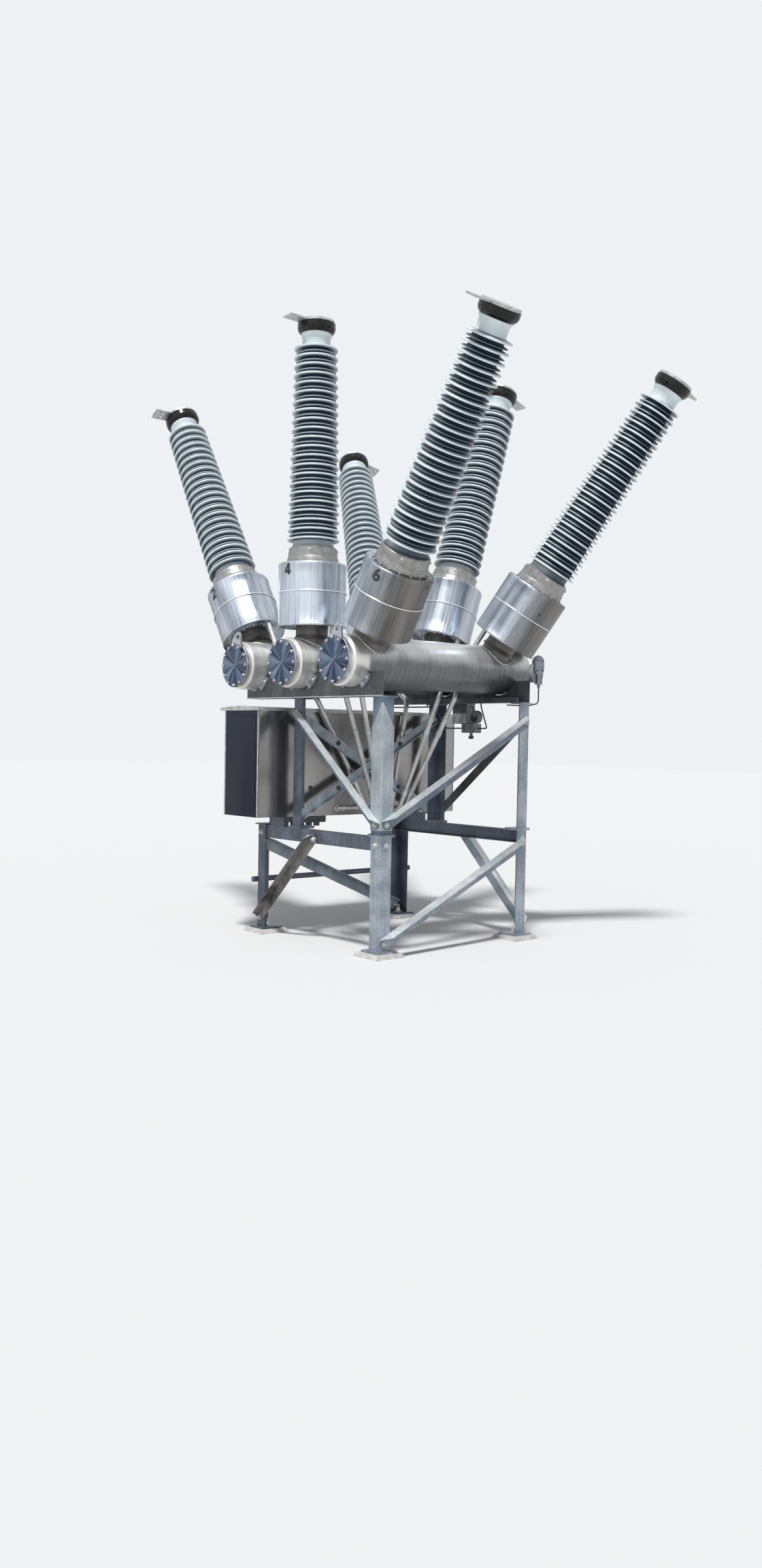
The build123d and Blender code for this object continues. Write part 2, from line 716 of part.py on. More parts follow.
def gas_pipes():
    """Thin pipes from the valve block: one climbs to the near tank, one feeds a header for the other two."""
    y = stand_half_y - monitor_inset - monitor_depth / 2
    tap_y = stand_half_y - gas_tap_inset
    block_left = monitor_x + manifold_offset_x
    block_right = block_left + manifold_width
    block_z = frame_top - monitor_height - manifold_height / 2
    header_z, header_x = frame_top - gas_pipe_drop, pole_xs[1] + gas_header_reach
    near = tube([
        (block_right, y, block_z), (block_right + gas_pipe_lead, y, block_z),
        (pole_xs[2], tap_y, header_z), (pole_xs[2], tap_y, tank_bottom),
    ], gas_pipe_radius)
    far = tube([
        (block_left, y, block_z), (header_x, y, block_z), (header_x, tap_y, header_z),
        (pole_xs[0], tap_y, header_z), (pole_xs[0], tap_y, tank_bottom),
    ], gas_pipe_radius)
    tap = Pos(pole_xs[1], tap_y, 0) * rod(gas_pipe_radius, header_z, tank_bottom - header_z)
    return near, far + tap


def save(shape, name):
    """Write one node, a single solid or several that don't touch."""
    part = Compound(children=list(shape)) if isinstance(shape, (list, tuple)) else shape
    export_step(part, os.path.join("parts", name + ".step"))


def main():
    os.makedirs("parts", exist_ok=True)
    corners = [("front_left", -1, -1), ("front_right", 1, -1), ("rear_left", -1, 1), ("rear_right", 1, 1)]
    save([grout_pad(sx, sy) for _, sx, sy in corners], "grout_pads")
    for label, sx, sy in corners:
        save(stand_leg(sx, sy), "stand_leg_" + label)
        save(frame_leg(stand_half_x if sx > 0 else frame_left_x, sx, sy), "frame_leg_" + label)
    save(stand_beam(-1), "stand_beam_front")
    save(stand_beam(1), "stand_beam_rear")
    save(stand_braces(), "stand_braces")
    save(frame_doubler(), "frame_leg_doubler")
    save(frame_braces(), "frame_braces")
    save(cross_brace(), "frame_cross_brace")
    save(side_strut(), "side_strut")
    save(saddle_beam(-1), "saddle_beam_front")
    save(saddle_beam(1), "saddle_beam_rear")
    for index in range(3):
        save(tank(index), "pole_%d_tank" % (index + 1))
    save(tank_lugs(), "tank_lugs")
    save([nozzle((number - 1) // 2, place) for number, place in nozzle_places()], "tank_nozzles")
    save([cover(index) for index in range(3)], "end_covers")
    save([drive_housing(index) for index in range(3)], "drive_housings")
    save(drive_shaft(), "drive_shaft_tubes")
    collars, caps, terminals = [], [], []
    can_form, column, flange, top_cap = instrument_can(), shed_column(), collar(), cap()
    for number, place in nozzle_places():
        save(place * can_form, "instrument_can_%d" % number)
        save(place * column, "bushing_%d" % number)
        collars.append(place * flange)
        caps.append(place * top_cap)
        terminals.append(place * terminal(1 if number % 2 else -1))
    save(collars, "bushing_collars")
    save(caps, "bushing_caps")
    save(terminals, "terminal_plates")
    save(cabinet(), "control_cabinet")
    save(cabinet_roof(), "cabinet_roof")
    save(cabinet_supports(), "cabinet_supports")
    save(gland_box(), "cabinet_gland_box")
    save([conduit(number, place) for number, place in nozzle_places()], "can_conduits")
    save(gas_monitor(), "gas_monitor")
    save(gas_pipes(), "gas_pipes")


main()
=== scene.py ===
# %% [markdown]
# # A dead-tank circuit breaker
# Three gas tanks lie side by side on a braced steel stand. Six bushings lean out of them, and a control
# cabinet runs along one side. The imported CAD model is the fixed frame: every length below is in metres, in
# the same axes, so a new piece is computed where it belongs and never has to be moved.

import json
import math

import bpy
import numpy as np
from mathutils import Matrix, Vector

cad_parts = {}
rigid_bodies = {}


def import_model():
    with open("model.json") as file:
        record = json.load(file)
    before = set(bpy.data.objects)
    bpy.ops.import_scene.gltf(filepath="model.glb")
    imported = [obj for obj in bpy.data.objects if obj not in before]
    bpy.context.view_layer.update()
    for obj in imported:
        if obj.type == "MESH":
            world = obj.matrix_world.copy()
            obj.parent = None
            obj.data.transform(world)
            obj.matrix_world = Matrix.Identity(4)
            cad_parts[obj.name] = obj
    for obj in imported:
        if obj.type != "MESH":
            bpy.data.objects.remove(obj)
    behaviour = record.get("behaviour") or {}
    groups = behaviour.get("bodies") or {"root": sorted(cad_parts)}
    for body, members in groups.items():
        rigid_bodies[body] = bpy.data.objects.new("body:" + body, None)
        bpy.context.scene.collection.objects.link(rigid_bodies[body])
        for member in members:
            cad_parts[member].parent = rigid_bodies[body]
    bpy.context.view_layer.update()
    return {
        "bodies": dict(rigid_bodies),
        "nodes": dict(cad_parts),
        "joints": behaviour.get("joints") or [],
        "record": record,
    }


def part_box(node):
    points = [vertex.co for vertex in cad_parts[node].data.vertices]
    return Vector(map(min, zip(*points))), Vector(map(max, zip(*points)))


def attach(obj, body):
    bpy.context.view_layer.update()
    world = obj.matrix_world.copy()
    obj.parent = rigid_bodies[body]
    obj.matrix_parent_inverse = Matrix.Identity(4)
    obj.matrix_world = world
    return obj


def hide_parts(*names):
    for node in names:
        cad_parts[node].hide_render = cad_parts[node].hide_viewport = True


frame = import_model()
nodes = frame["nodes"]

# %% [markdown]
# ## Camera
# The eye stands about nine metres from the breaker's near leg, as high as a standing person's. A camera is an
# eye point and three turns: yaw round the vertical, pitch up or down and a small roll. The lens is given by
# the picture's height, so the sensor is fitted vertically. An unturned camera looks down, hence the quarter
# turn.

# %% Camera
EYE = (7.746, -6.837, 1.685)
YAW, PITCH, ROLL = math.radians(49.11), math.radians(-2.132), math.radians(1.057)
FOCAL_PIXELS, PICTURE_HEIGHT, SENSOR = 1837.0, 2400.0, 36.0

camera = bpy.data.objects.new("camera", bpy.data.cameras.new("camera"))
bpy.context.scene.collection.objects.link(camera)
camera.data.sensor_fit = "VERTICAL"
camera.data.sensor_height = SENSOR
camera.data.lens = SENSOR * FOCAL_PIXELS / PICTURE_HEIGHT
camera.data.clip_end = 200
turns = ((YAW, "Z"), (math.pi / 2 + PITCH, "X"), (ROLL, "Z"))
yaw_turn, pitch_turn, roll_turn = (Matrix.Rotation(turn, 4, axis) for turn, axis in turns)
camera.matrix_world = Matrix.Translation(EYE) @ yaw_turn @ pitch_turn @ roll_turn
bpy.context.scene.camera = camera
print("lens", round(camera.data.lens, 2))

# %% [markdown]
# ## How a finish is written
# A finish is a small graph: a pattern in the metal's own place turns into colour, roughness and tiny height.
# The helpers below keep each graph short. `bench.pattern` makes noise that can be stretched, `bench.toned`
# turns a pattern into two tones, and `bench.finish` plugs the results into the surface shader.

# %% Finish helpers
finishes = {}
NOISE = (0.3, 0.7)  # Most of a cloudy noise lies between these.


class Graph:
    """A graph of nodes, with the few tools that the sky and all finishes share."""

    def __init__(self, owner):
        owner.use_nodes = True
        self.tree = owner.node_tree

    def join(self, source, socket):
        """Plugs a graph value in, or sets the socket when the value is a plain number, vector or colour."""
        if isinstance(source, bpy.types.NodeSocket):
            self.tree.links.new(source, socket)
        else:
            socket.default_value = (*source, 1) if socket.type == "RGBA" else source

    def node(self, kind, inputs, output=0, **values):
        """Adds a node, sets its values, fills its inputs by name or number, and gives one of its outputs."""
        made = self.tree.nodes.new("ShaderNode" + kind)
        for key, value in values.items():
            setattr(made, key, value)
        for key, source in inputs.items():
            self.join(source, made.inputs[key])
        return made.outputs[output]

    def sum(self, a, b, operation="ADD"):
        return self.node("Math", {0: a, 1: b}, operation=operation)

    def times(self, a, b):
        return self.sum(a, b, "MULTIPLY")


class Bench(Graph):
    """One material's graph. Its patterns lie in the object's own place, or in one that the mesh carries."""

    def __init__(self, name, own=False):
        self.material = finishes[name] = bpy.data.materials.new(name)
        super().__init__(self.material)
        self.shader = self.tree.nodes["Principled BSDF"]
        self.place = self.mark("own", "Vector") if own else self.node("TexCoord", {}, "Object")

    def mark(self, name, output="Fac"):
        """A value or vector that the mesh carries at each of its points."""
        return self.node("Attribute", {}, output, attribute_type="GEOMETRY", attribute_name=name)

    def along(self, axis, vector=None):
        """How far the place, or another vector, lies along X, Y or Z."""
        return self.node("SeparateXYZ", {0: vector or self.place}, axis)

    def upward(self):
        """How far each face points up, from -1 to 1: the Z of the surface's own normal."""
        return self.along("Z", self.node("TexCoord", {}, "Normal"))

    def pattern(self, scale, detail=3.0, rough=0.55, stretch=(1, 1, 1)):
        """Cloudy noise, a cloud in each 1/scale metres; a small stretch draws it out along that axis."""
        at = self.node("Mapping", {"Vector": self.place, "Scale": stretch})
        return self.node("TexNoise", {"Vector": at, "Scale": scale, "Detail": detail, "Roughness": rough},
                         "Fac")

    def cells(self, scale):
        """A random grey for each cell of a broken pattern, like the crystals of zinc."""
        broken = self.node("TexVoronoi", {"Vector": self.place, "Scale": scale}, "Color")
        return self.node("SeparateColor", {0: broken})

    def band(self, value, low, high, to_low=0.0, to_high=1.0):
        """Maps low..high to to_low..to_high with soft ends, and holds beyond them."""
        inputs = dict(enumerate((value, low, high, to_low, to_high)))
        return self.node("MapRange", inputs, interpolation_type="SMOOTHSTEP")

    def blend(self, share, first, second):
        """Colour that goes from first to second as share goes from 0 to 1."""
        return self.node("Mix", {0: share, 6: first, 7: second}, 2, data_type="RGBA")

    def toned(self, pattern, low, high, first, second):
        """Colour that goes from first to second as the pattern goes from low to high."""
        return self.blend(self.band(pattern, low, high), first, second)

    def finish(self, colour, rough, metal=0.0, height=None, depth=0.001, strength=1.0):
        """Colour, roughness (pattern, smooth, dull and perhaps ends), metal, and a height pattern whose
        depth is in metres."""
        rough_pattern, smooth, dull, *ends = rough
        self.join(colour, self.shader.inputs["Base Color"])
        self.join(self.band(rough_pattern, *(ends or NOISE), smooth, dull), self.shader.inputs["Roughness"])
        self.shader.inputs["Metallic"].default_value = metal
        if height is not None:
            bump = self.node("Bump", {"Strength": strength, "Distance": depth, "Height": height})
            self.join(bump, self.shader.inputs["Normal"])


def grey(value, warm=0.0):
    """A grey of that brightness, warmer for a positive second number and bluer for a negative one."""
    return (value * (1 + warm), value, value * (1 - warm))


print("finish helpers ready")

# %% [markdown]
# ## Light and floor
# Outdoors the light is a high sun and a wide sky. One soft lamp stands for the sun, a weak one fills the far
# side, and the world is the sky. White metal looks white only because it mirrors something pale, so the world
# shows a pale colour to the camera and to glossy rays, and a weaker one to matte surfaces.

# %% Light and floor
bpy.context.scene.view_settings.view_transform = "Standard"
PALE_SKY, SOFT_SKY, SKY_STRENGTH, FLOOR_HALF = (0.86, 0.88, 0.90), (0.90, 0.95, 1.0), 0.27, 60.0


def soft_sun(name, toward, strength, width):
    """A lamp far away that shines along the vector toward, as wide as the given angle in degrees."""
    lamp = bpy.data.objects.new(name, bpy.data.lights.new(name, "SUN"))
    lamp.data.energy = strength
    lamp.data.angle = math.radians(width)
    lamp.rotation_mode = "QUATERNION"
    lamp.rotation_quaternion = Vector(toward).to_track_quat("-Z", "Y")
    bpy.context.scene.collection.objects.link(lamp)


soft_sun("key", (-0.27, 0.34, -0.95), 2.8, 7)
soft_sun("fill", (-0.35, 0.85, -0.30), 0.35, 70)

world = bpy.data.worlds.new("sky")
bpy.context.scene.world = world
sky = Graph(world)
sky.tree.nodes.clear()
camera_ray, glossy, through = (sky.node("LightPath", {}, "Is %s Ray" % kind)
                               for kind in ("Camera", "Glossy", "Transmission"))
direct = sky.sum(sky.sum(camera_ray, glossy, "MAXIMUM"), through, "MAXIMUM")
lit = sky.node("Background", {"Color": SOFT_SKY, "Strength": SKY_STRENGTH})
seen = sky.node("Background", {"Color": PALE_SKY})
sky.join(sky.node("MixShader", {0: direct, 1: lit, 2: seen}),
         sky.tree.nodes.new("ShaderNodeOutputWorld").inputs[0])

floor_mesh = bpy.data.meshes.new("floor")
floor_mesh.from_pydata([(x, y, 0) for x, y in ((-1, -1), (1, -1), (1, 1), (-1, 1))], [], [(0, 1, 2, 3)])
floor_mesh.transform(Matrix.Diagonal((FLOOR_HALF, FLOOR_HALF, 1, 1)))
floor = bpy.data.objects.new("floor", floor_mesh)
bpy.context.scene.collection.objects.link(floor)
print("lamps and floor ready")

# %% [markdown]
# ## Galvanised steel
# Steel dipped in zinc is matte grey with crystals a centimetre wide, cloudy patches as wide as a hand, and
# streaks where rain ran down. One noise per scale is enough; the streaks are noise drawn out upwards. Parts
# that lie in shade get a darker pair of tones as painted shade, and sunlit ones a paler pair as painted
# light, so one graph is written with several pairs of tones. Flanges that face up are painted paler as
# painted light, and that share comes from the surface's own normal.

# %% Galvanised steel
zinc_tones = {
    "galvanised_steel": ((0.22, 0.26, 0.31), (0.44, 0.49, 0.54)),
    # The frame braces' darker pair is painted shade on their webs.
    "zinc_light": ((0.13, 0.165, 0.21), (0.26, 0.31, 0.37)),
    # The leg doubler's paler pair is painted light.
    "zinc_pale": ((0.27, 0.31, 0.345), (0.46, 0.505, 0.545)),
    # The near leg's dark blue pair is painted shade.
    "zinc_blue": ((0.10, 0.145, 0.19), (0.21, 0.28, 0.35)),
    # The saddle beams' near-black pair is painted shade under the tanks.
    "zinc_brown": ((0.058, 0.066, 0.072), (0.135, 0.150, 0.162)),
    # The dark navy pair of the left legs, stand beams and strut is painted shade.
    "zinc_dark": ((0.070, 0.085, 0.115), (0.160, 0.185, 0.230)),
}
UPWARD, ZINC_SHINE, ZINC_GRAIN, ZINC_DEPTH, ZINC_BUMP = (0.25, 0.55), (0.5, 1.2), 240.0, 0.0004, 0.35
REAR_BRACE_Y, DARK_BRACE_Y, DARK_BRACE_X = (0.805, 0.825), (-0.70, -0.78), (0.03, -0.03)
for name, (dark_zinc, pale_zinc) in zinc_tones.items():
    bench = Bench(name)
    streaks = bench.pattern(26.0, 3, stretch=(1, 1, 0.06))
    tone = bench.sum(bench.pattern(5.0, 4), bench.times(bench.cells(95.0), 0.14))
    tone = bench.sum(tone, bench.times(streaks, 0.5))
    share = bench.band(tone, 0.60, 1.10)
    zinc = bench.blend(share, dark_zinc, pale_zinc)
    if name == "zinc_light":
        # The rear brace is painted darker as painted shade.
        rear_brace_shade = bench.blend(share, (0.058, 0.060, 0.066), (0.13, 0.13, 0.136))
        # Faces that point up take a paler tone as painted light.
        lit_top = bench.blend(share, (0.58, 0.62, 0.64), (0.80, 0.83, 0.84))
        zinc = bench.toned(bench.along("Y"), *REAR_BRACE_Y, zinc, rear_brace_shade)
        zinc = bench.toned(bench.upward(), *UPWARD, zinc, lit_top)
    bench.finish(zinc, (tone, 0.38, 0.58, *ZINC_SHINE), 0.45,
                 bench.pattern(ZINC_GRAIN, 2), ZINC_DEPTH, ZINC_BUMP)

# One lower brace, under the covers, is darker than the rest: it alone lies where both bands below are one.
bench = Bench("zinc_brace")
dark_brace_share = bench.times(bench.band(bench.along("Y"), *DARK_BRACE_Y), bench.band(bench.along("X"), *DARK_BRACE_X))
tone = bench.sum(bench.pattern(5.0, 4), bench.times(bench.pattern(34.0, 4, stretch=(0.3, 1, 0.3)), 0.6))
share = bench.band(tone, 0.62, 1.0)
web = bench.blend(share, (0.22, 0.26, 0.31), (0.40, 0.45, 0.50))
# Faces that point up take a paler tone as painted light.
lit_top = bench.blend(share, (0.56, 0.60, 0.62), (0.78, 0.81, 0.82))
zinc = bench.blend(dark_brace_share, bench.toned(bench.upward(), *UPWARD, web, lit_top),
                   bench.blend(share, (0.070, 0.065, 0.058), (0.26, 0.25, 0.24)))
bench.finish(zinc, (tone, 0.42, 0.62, *ZINC_SHINE), 0.40, bench.pattern(ZINC_GRAIN, 2), ZINC_DEPTH, ZINC_BUMP)

# %% [markdown]
# ## Tanks, nozzles and crank housings
# These are cast and rolled aluminium without paint. The metal is duller than sheet, and marks of the rolls
# run round it, so the noise is squeezed along the tank. Its lower half is painted dark as painted shade, and
# the barrels just behind the covers are painted paler as painted light; both shares come from the place.

# %% Tank metal
SHADED_Z, BARREL_Y = (2.485, 2.34), (-0.81, -0.86)
bench = Bench("tank_metal")
turned_marks = bench.pattern(1.0, 5, 0.7, stretch=(1.5, 70, 1.5))
clouds = bench.pattern(3.2, 4)
below = bench.band(bench.sum(bench.along("Z"), bench.times(clouds, 0.16)), *SHADED_Z)
share = bench.band(turned_marks, *NOISE)
bare = bench.blend(share, (0.60, 0.61, 0.61), (0.78, 0.78, 0.765))
# The dark tone below is painted shade, and the pale barrel tone painted light.
shaded_tank_tone = bench.blend(share, (0.115, 0.122, 0.130), (0.205, 0.215, 0.228))
lit_barrel_tone = bench.blend(share, (0.66, 0.65, 0.62), (0.88, 0.87, 0.84))
colour = bench.toned(bench.along("Y"), *BARREL_Y, bench.blend(below, bare, shaded_tank_tone), lit_barrel_tone)
bench.finish(colour, (clouds, 0.32, 0.46), 0.72, turned_marks, 0.0006, 0.35)

# The nozzles' dark brown-grey is painted shade.
bench = Bench("nozzle_metal")
clouds = bench.pattern(9.0, 5)
bench.finish(bench.toned(clouds, 0.35, 0.7, (0.105, 0.098, 0.092), (0.20, 0.185, 0.17)),
             (clouds, 0.36, 0.55), 0.6, bench.pattern(110.0, 3), 0.0006, 0.35)

# %% [markdown]
# ## Instrument cans
# The cans are rolled from bright sheet. Its grain runs up the can, and the sheet is a little wavy, which
# shows only in how it mirrors the sky. The sides that lean over the ground are painted darker and greyer as
# painted shade, so each point of a can carries how far it faces down.

# %% Can metal
bench = Bench("can_metal", own=True)
grain = bench.pattern(60.0, 5, 0.7, stretch=(1, 1, 0.03))
broad = bench.pattern(7.0, 3, 0.5, stretch=(1, 1, 0.12))
film = bench.band(bench.sum(grain, bench.times(broad, 1.6)), 0.95, 1.65)
unshaded_tone = bench.blend(film, (0.27, 0.305, 0.355), (0.62, 0.67, 0.74))
down_shade_tone = bench.blend(film, (0.100, 0.098, 0.096), (0.215, 0.208, 0.200))
# Sides that face down take the dark tone: painted shade.
bench.finish(bench.blend(bench.mark("down"), unshaded_tone, down_shade_tone), (grain, 0.26, 0.40), 0.9, broad, 0.02, 0.25)

# %% [markdown]
# ## Bolted covers
# Each cover is turned on a lathe, so fine rings run round its centre. Its face is painted dark blue as
# painted shade and a painted reflection of the sky, and paler wedges that run out from the centre are a
# painted reflection of the turned face. Three covers share one mesh, so the distance from the nearest tank's
# axis is found by wrapping the place across the poles into one pole's width. The wedges read only the
# direction from the centre.

# %% Cover metal
tank_boxes = [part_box("pole_%d_tank" % pole) for pole in (1, 2, 3)]
pole_step = tank_boxes[2][1].x - tank_boxes[1][1].x
tank_radius = (tank_boxes[2][1].x - tank_boxes[2][0].x) / 2
pole_x = [high.x - tank_radius for _, high in tank_boxes]
axis_z = tank_boxes[2][1].z - tank_radius
print("poles at", [round(x, 3) for x in pole_x], "axis", round(axis_z, 3), "radius", round(tank_radius, 3))

RINGS_PER_METRE, FACE_EDGE = 2600.0, (0.1855, 0.1870)
bench = Bench("cover_metal")
wrap = {0: bench.along("X"), 1: pole_x[1] + pole_step / 2, 2: pole_x[1] - pole_step / 2}
side = bench.sum(bench.node("Math", wrap, operation="WRAP"), pole_x[1], "SUBTRACT")
rise = bench.sum(bench.along("Z"), axis_z, "SUBTRACT")
radius = bench.sum(bench.sum(bench.times(side, side), bench.times(rise, rise)), 0.5, "POWER")
turning = bench.sum(bench.times(radius, RINGS_PER_METRE), 0.0, "SINE")
outward = bench.node("CombineXYZ", {0: bench.sum(side, radius, "DIVIDE"),
                                    2: bench.sum(rise, radius, "DIVIDE")})
fan_reflection = bench.node("TexNoise", {"Vector": outward, "Scale": 2.6, "Detail": 5.0}, "Fac")
# The face's dark blue and its paler wedges are painted shade and painted reflection.
face = bench.toned(fan_reflection, 0.32, 0.68, (0.014, 0.026, 0.058), (0.19, 0.25, 0.36))
bench.finish(bench.toned(radius, *FACE_EDGE, face, grey(0.50, -0.05)),
             (bench.pattern(40.0, 3), 0.24, 0.36), 0.85, turning, 0.0002, 0.25)

# %% [markdown]
# ## Sheds, collars and caps
# The sheds are pale grey with a satin gloss, and each point carries how bright it is, as painted light and
# shade. The collars below them are weathered castings with dark spots, and the caps are black and glossy.

# %% Sheds, collars, caps
bench = Bench("shed_grey")
dust = bench.pattern(7.0, 5)
unshaded_tone = bench.toned(dust, 0.35, 0.7, (0.68, 0.77, 0.81), (0.80, 0.87, 0.90))
# Points that are not bright go dark blue: painted shade.
bench.finish(bench.blend(bench.mark("bright"), (0.018, 0.045, 0.080), unshaded_tone), (dust, 0.30, 0.46), 0.0,
             bench.pattern(160.0, 2), 0.0003, 0.2)

bench = Bench("collar_grey")
worn = bench.pattern(22.0, 6, 0.65)
cast = bench.toned(worn, 0.35, 0.68, (0.27, 0.268, 0.26), (0.38, 0.378, 0.368))
bench.finish(bench.toned(bench.pattern(60.0, 4), 0.60, 0.78, cast, (0.19, 0.18, 0.17)),
             (worn, 0.34, 0.46), 0.60, bench.pattern(90.0, 3), 0.0005, 0.25)

bench = Bench("cap_black")
dust = bench.pattern(14.0, 5)
bench.finish(bench.toned(dust, 0.45, 0.75, grey(0.004), grey(0.014)), (dust, 0.14, 0.26))
bench.shader.inputs["Specular IOR Level"].default_value = 0.35

# %% [markdown]
# ## Cabinet sheet
# Polished stainless sheet is never quite flat. Broad shallow dents bend the reflections, so the height
# pattern is wide and the roughness low; a fine vertical grain keeps it from looking like glass. The long side
# is painted a warm grey with broad soft bands as a painted reflection of the ground, and the narrow end under
# the covers is painted dark blue as painted shade and a painted reflection of the sky.

# %% Cabinet sheet
NARROW_END_Y = (-1.095, -1.105)
bench = Bench("stainless_sheet")
grain = bench.pattern(130.0, 3, stretch=(1, 1, 0.02))
reflection_panes = bench.band(bench.pattern(1.3, 2, stretch=(1, 1, 0.25)), 0.35, 0.65)
# Warm grey bands on the side are a painted reflection; the end's dark blue is painted shade and reflection.
side_reflection_tone = bench.blend(reflection_panes, (0.235, 0.226, 0.218), (0.35, 0.338, 0.326))
side_reflection_tone = bench.blend(bench.times(bench.band(grain, *NOISE), 0.08), side_reflection_tone, (0.50, 0.49, 0.48))
end_shade_tone = bench.blend(reflection_panes, (0.014, 0.018, 0.030), (0.030, 0.036, 0.054))
bench.finish(bench.toned(bench.along("Y"), *NARROW_END_Y, side_reflection_tone, end_shade_tone), (grain, 0.19, 0.25), 0.90,
             bench.pattern(1.9, 3), 0.02, 0.4)

# %% [markdown]
# ## Small parts
# Terminals are dull aluminium, conduits bright zinc with scuffs, and the gauge, gland box and pipes are dark.
# One loop writes these plain finishes: two tones, a roughness range, how metallic they are and a grain size.

# %% Small parts
plain = {
    "terminal_metal": (grey(0.42), grey(0.58), 0.38, 0.55, 0.8, 22.0),
    "conduit_metal": (grey(0.50), grey(0.66), 0.24, 0.34, 0.80, 6.0),
    "dark_metal": (grey(0.05, -0.05), grey(0.10, -0.05), 0.4, 0.6, 0.1, 40.0),
    "gauge_metal": (grey(0.16, -0.03), grey(0.26, -0.03), 0.35, 0.5, 0.3, 30.0),
    "pipe_black": (grey(0.02), grey(0.05), 0.4, 0.55, 0.0, 40.0),
    "concrete": (grey(0.44, 0.03), grey(0.62, 0.03), 0.8, 0.95, 0.0, 26.0),
    "cover_blue": (grey(0.22, -0.16), grey(0.34, -0.12), 0.28, 0.42, 0.6, 30.0),
    "lid_grey": (grey(0.30, -0.01), grey(0.42, -0.01), 0.35, 0.5, 0.3, 40.0),
    "shed_plain": (grey(0.62, -0.02), grey(0.74, -0.02), 0.35, 0.5, 0.0, 30.0),
    "seam_bright": (grey(0.80), grey(0.90), 0.35, 0.5, 0.3, 30.0),
    "glass_dark": (grey(0.015), grey(0.035), 0.05, 0.12, 0.0, 20.0),
}
for name, (dark, pale, smooth, dull, metal, size) in plain.items():
    bench = Bench(name)
    grain = bench.pattern(size, 5)
    bench.finish(bench.toned(grain, 0.35, 0.65, dark, pale), (grain, smooth, dull), metal,
                 bench.pattern(size * 6, 3), 0.0003, 0.25)

bench = Bench("bolt_zinc")
grain = bench.pattern(90.0, 3)
bench.finish(bench.toned(grain, 0.35, 0.65, grey(0.50), grey(0.74)), (grain, 0.3, 0.5), 0.8,
             bench.pattern(400.0, 2), 0.0003, 0.3)

bench = Bench("floor")
bench.shader.inputs["Base Color"].default_value = (*grey(0.80, 0.005), 1)
bench.shader.inputs["Roughness"].default_value = 0.9
floor.data.materials.append(bench.material)
print(len(finishes), "finishes")

# %% [markdown]
# ## Dressing the CAD nodes
# The record says which slot each node takes its finish from, so one loop gives every node its material.

# %% Dress the nodes
slot_of = {part["node"]: part["material_slot"] for part in frame["record"]["subparts"]}
for name, node in nodes.items():
    node.data.materials.clear()
    node.data.materials.append(finishes[slot_of[name]])
# Some nodes get a finish of their own: darker ones are painted shade where they lie in shade, and paler
# ones painted light where the sun falls on them.
shaded_and_lit_finishes = {
    "nozzle_metal": ["tank_nozzles"],
    # The roof takes a paler finish as a painted highlight on its lit edge.
    "terminal_metal": ["cabinet_roof"],
    "zinc_pale": ["frame_leg_doubler"],
    "zinc_light": ["frame_braces"],
    "zinc_brace": ["stand_braces"],
    "zinc_dark": ["frame_leg_front_left", "frame_leg_rear_left", "stand_beam_front", "stand_beam_rear",
                  "stand_leg_front_left", "stand_leg_rear_left", "cabinet_supports", "side_strut"],
    "zinc_brown": ["saddle_beam_front", "saddle_beam_rear"],
    "zinc_blue": ["frame_leg_front_right"],
}
for finish, names in shaded_and_lit_finishes.items():
    for name in names:
        nodes[name].data.materials[0] = finishes[finish]
print(len(slot_of), "nodes dressed")

# %% [markdown]
# ## Shapes from formulas
# Every new piece is a surface worked out as arrays. A shape here is a pair: points, and faces that name four
# points each. A grid of points becomes a shape by joining neighbours. Where a row shrinks to one point, as at
# the middle of a disc, its four-cornered faces have two equal corners, and `piece` turns them into triangles.
# A small shape that is needed often, such as a bolt, is computed once and carried to all its places at once.

# %% Shapes from formulas


def grid(points):
    """Faces join each point with the next column and the next row, and the last column meets the first."""
    rows, columns = points.shape[:2]
    here = np.arange(rows * columns).reshape(rows, columns)
    beside = np.roll(here, -1, axis=1)
    faces = np.stack([here[:-1], beside[:-1], beside[1:], here[1:]], axis=-1)
    return points.reshape(-1, 3), faces.reshape(-1, 4)


def capped(rows):
    """Rows of points joined in a tube, with the first and the last row closed on their own middle."""
    ends = [np.broadcast_to(row.mean(axis=0), row.shape)[None] for row in (rows[0], rows[-1])]
    return grid(np.concatenate([ends[0], rows, ends[1]]))


def turned(profile, count):
    """Profile (r, h) turned round Z: the point at angle t is (r cos t, r sin t, h)."""
    profile = np.asarray(profile, float)
    angle = np.linspace(0, 2 * np.pi, count, endpoint=False)
    radius, height = profile[:, :1], profile[:, 1:]
    return grid(np.stack([radius * np.cos(angle), radius * np.sin(angle), height + 0 * angle], axis=-1))


def ring(profile, count):
    """A turned shape with a hole: the profile comes back to its first point."""
    return turned([*profile, profile[0]], count)


def arc(middle_u, middle_v, radius_u, radius_v, start, end, count=12):
    """Points (mu + ru cos t, mv + rv sin t) from start to end, in degrees."""
    turn = np.radians(np.linspace(start, end, count))
    return np.stack([middle_u + radius_u * np.cos(turn), middle_v + radius_v * np.sin(turn)], axis=-1)


def circle(radius, count):
    return arc(0, 0, radius, radius, 0, 360, count + 1)[:-1]


def rounded(half_a, half_b, radius):
    """Rectangle with rounded corners: quarter circles about its four inner corners."""
    a, b = half_a - radius, half_b - radius
    return np.concatenate([arc(u, v, radius, radius, start, start + 90, 4)
                           for u, v, start in ((a, b, 0), (-a, b, 90), (-a, -b, 180), (a, -b, 270))])


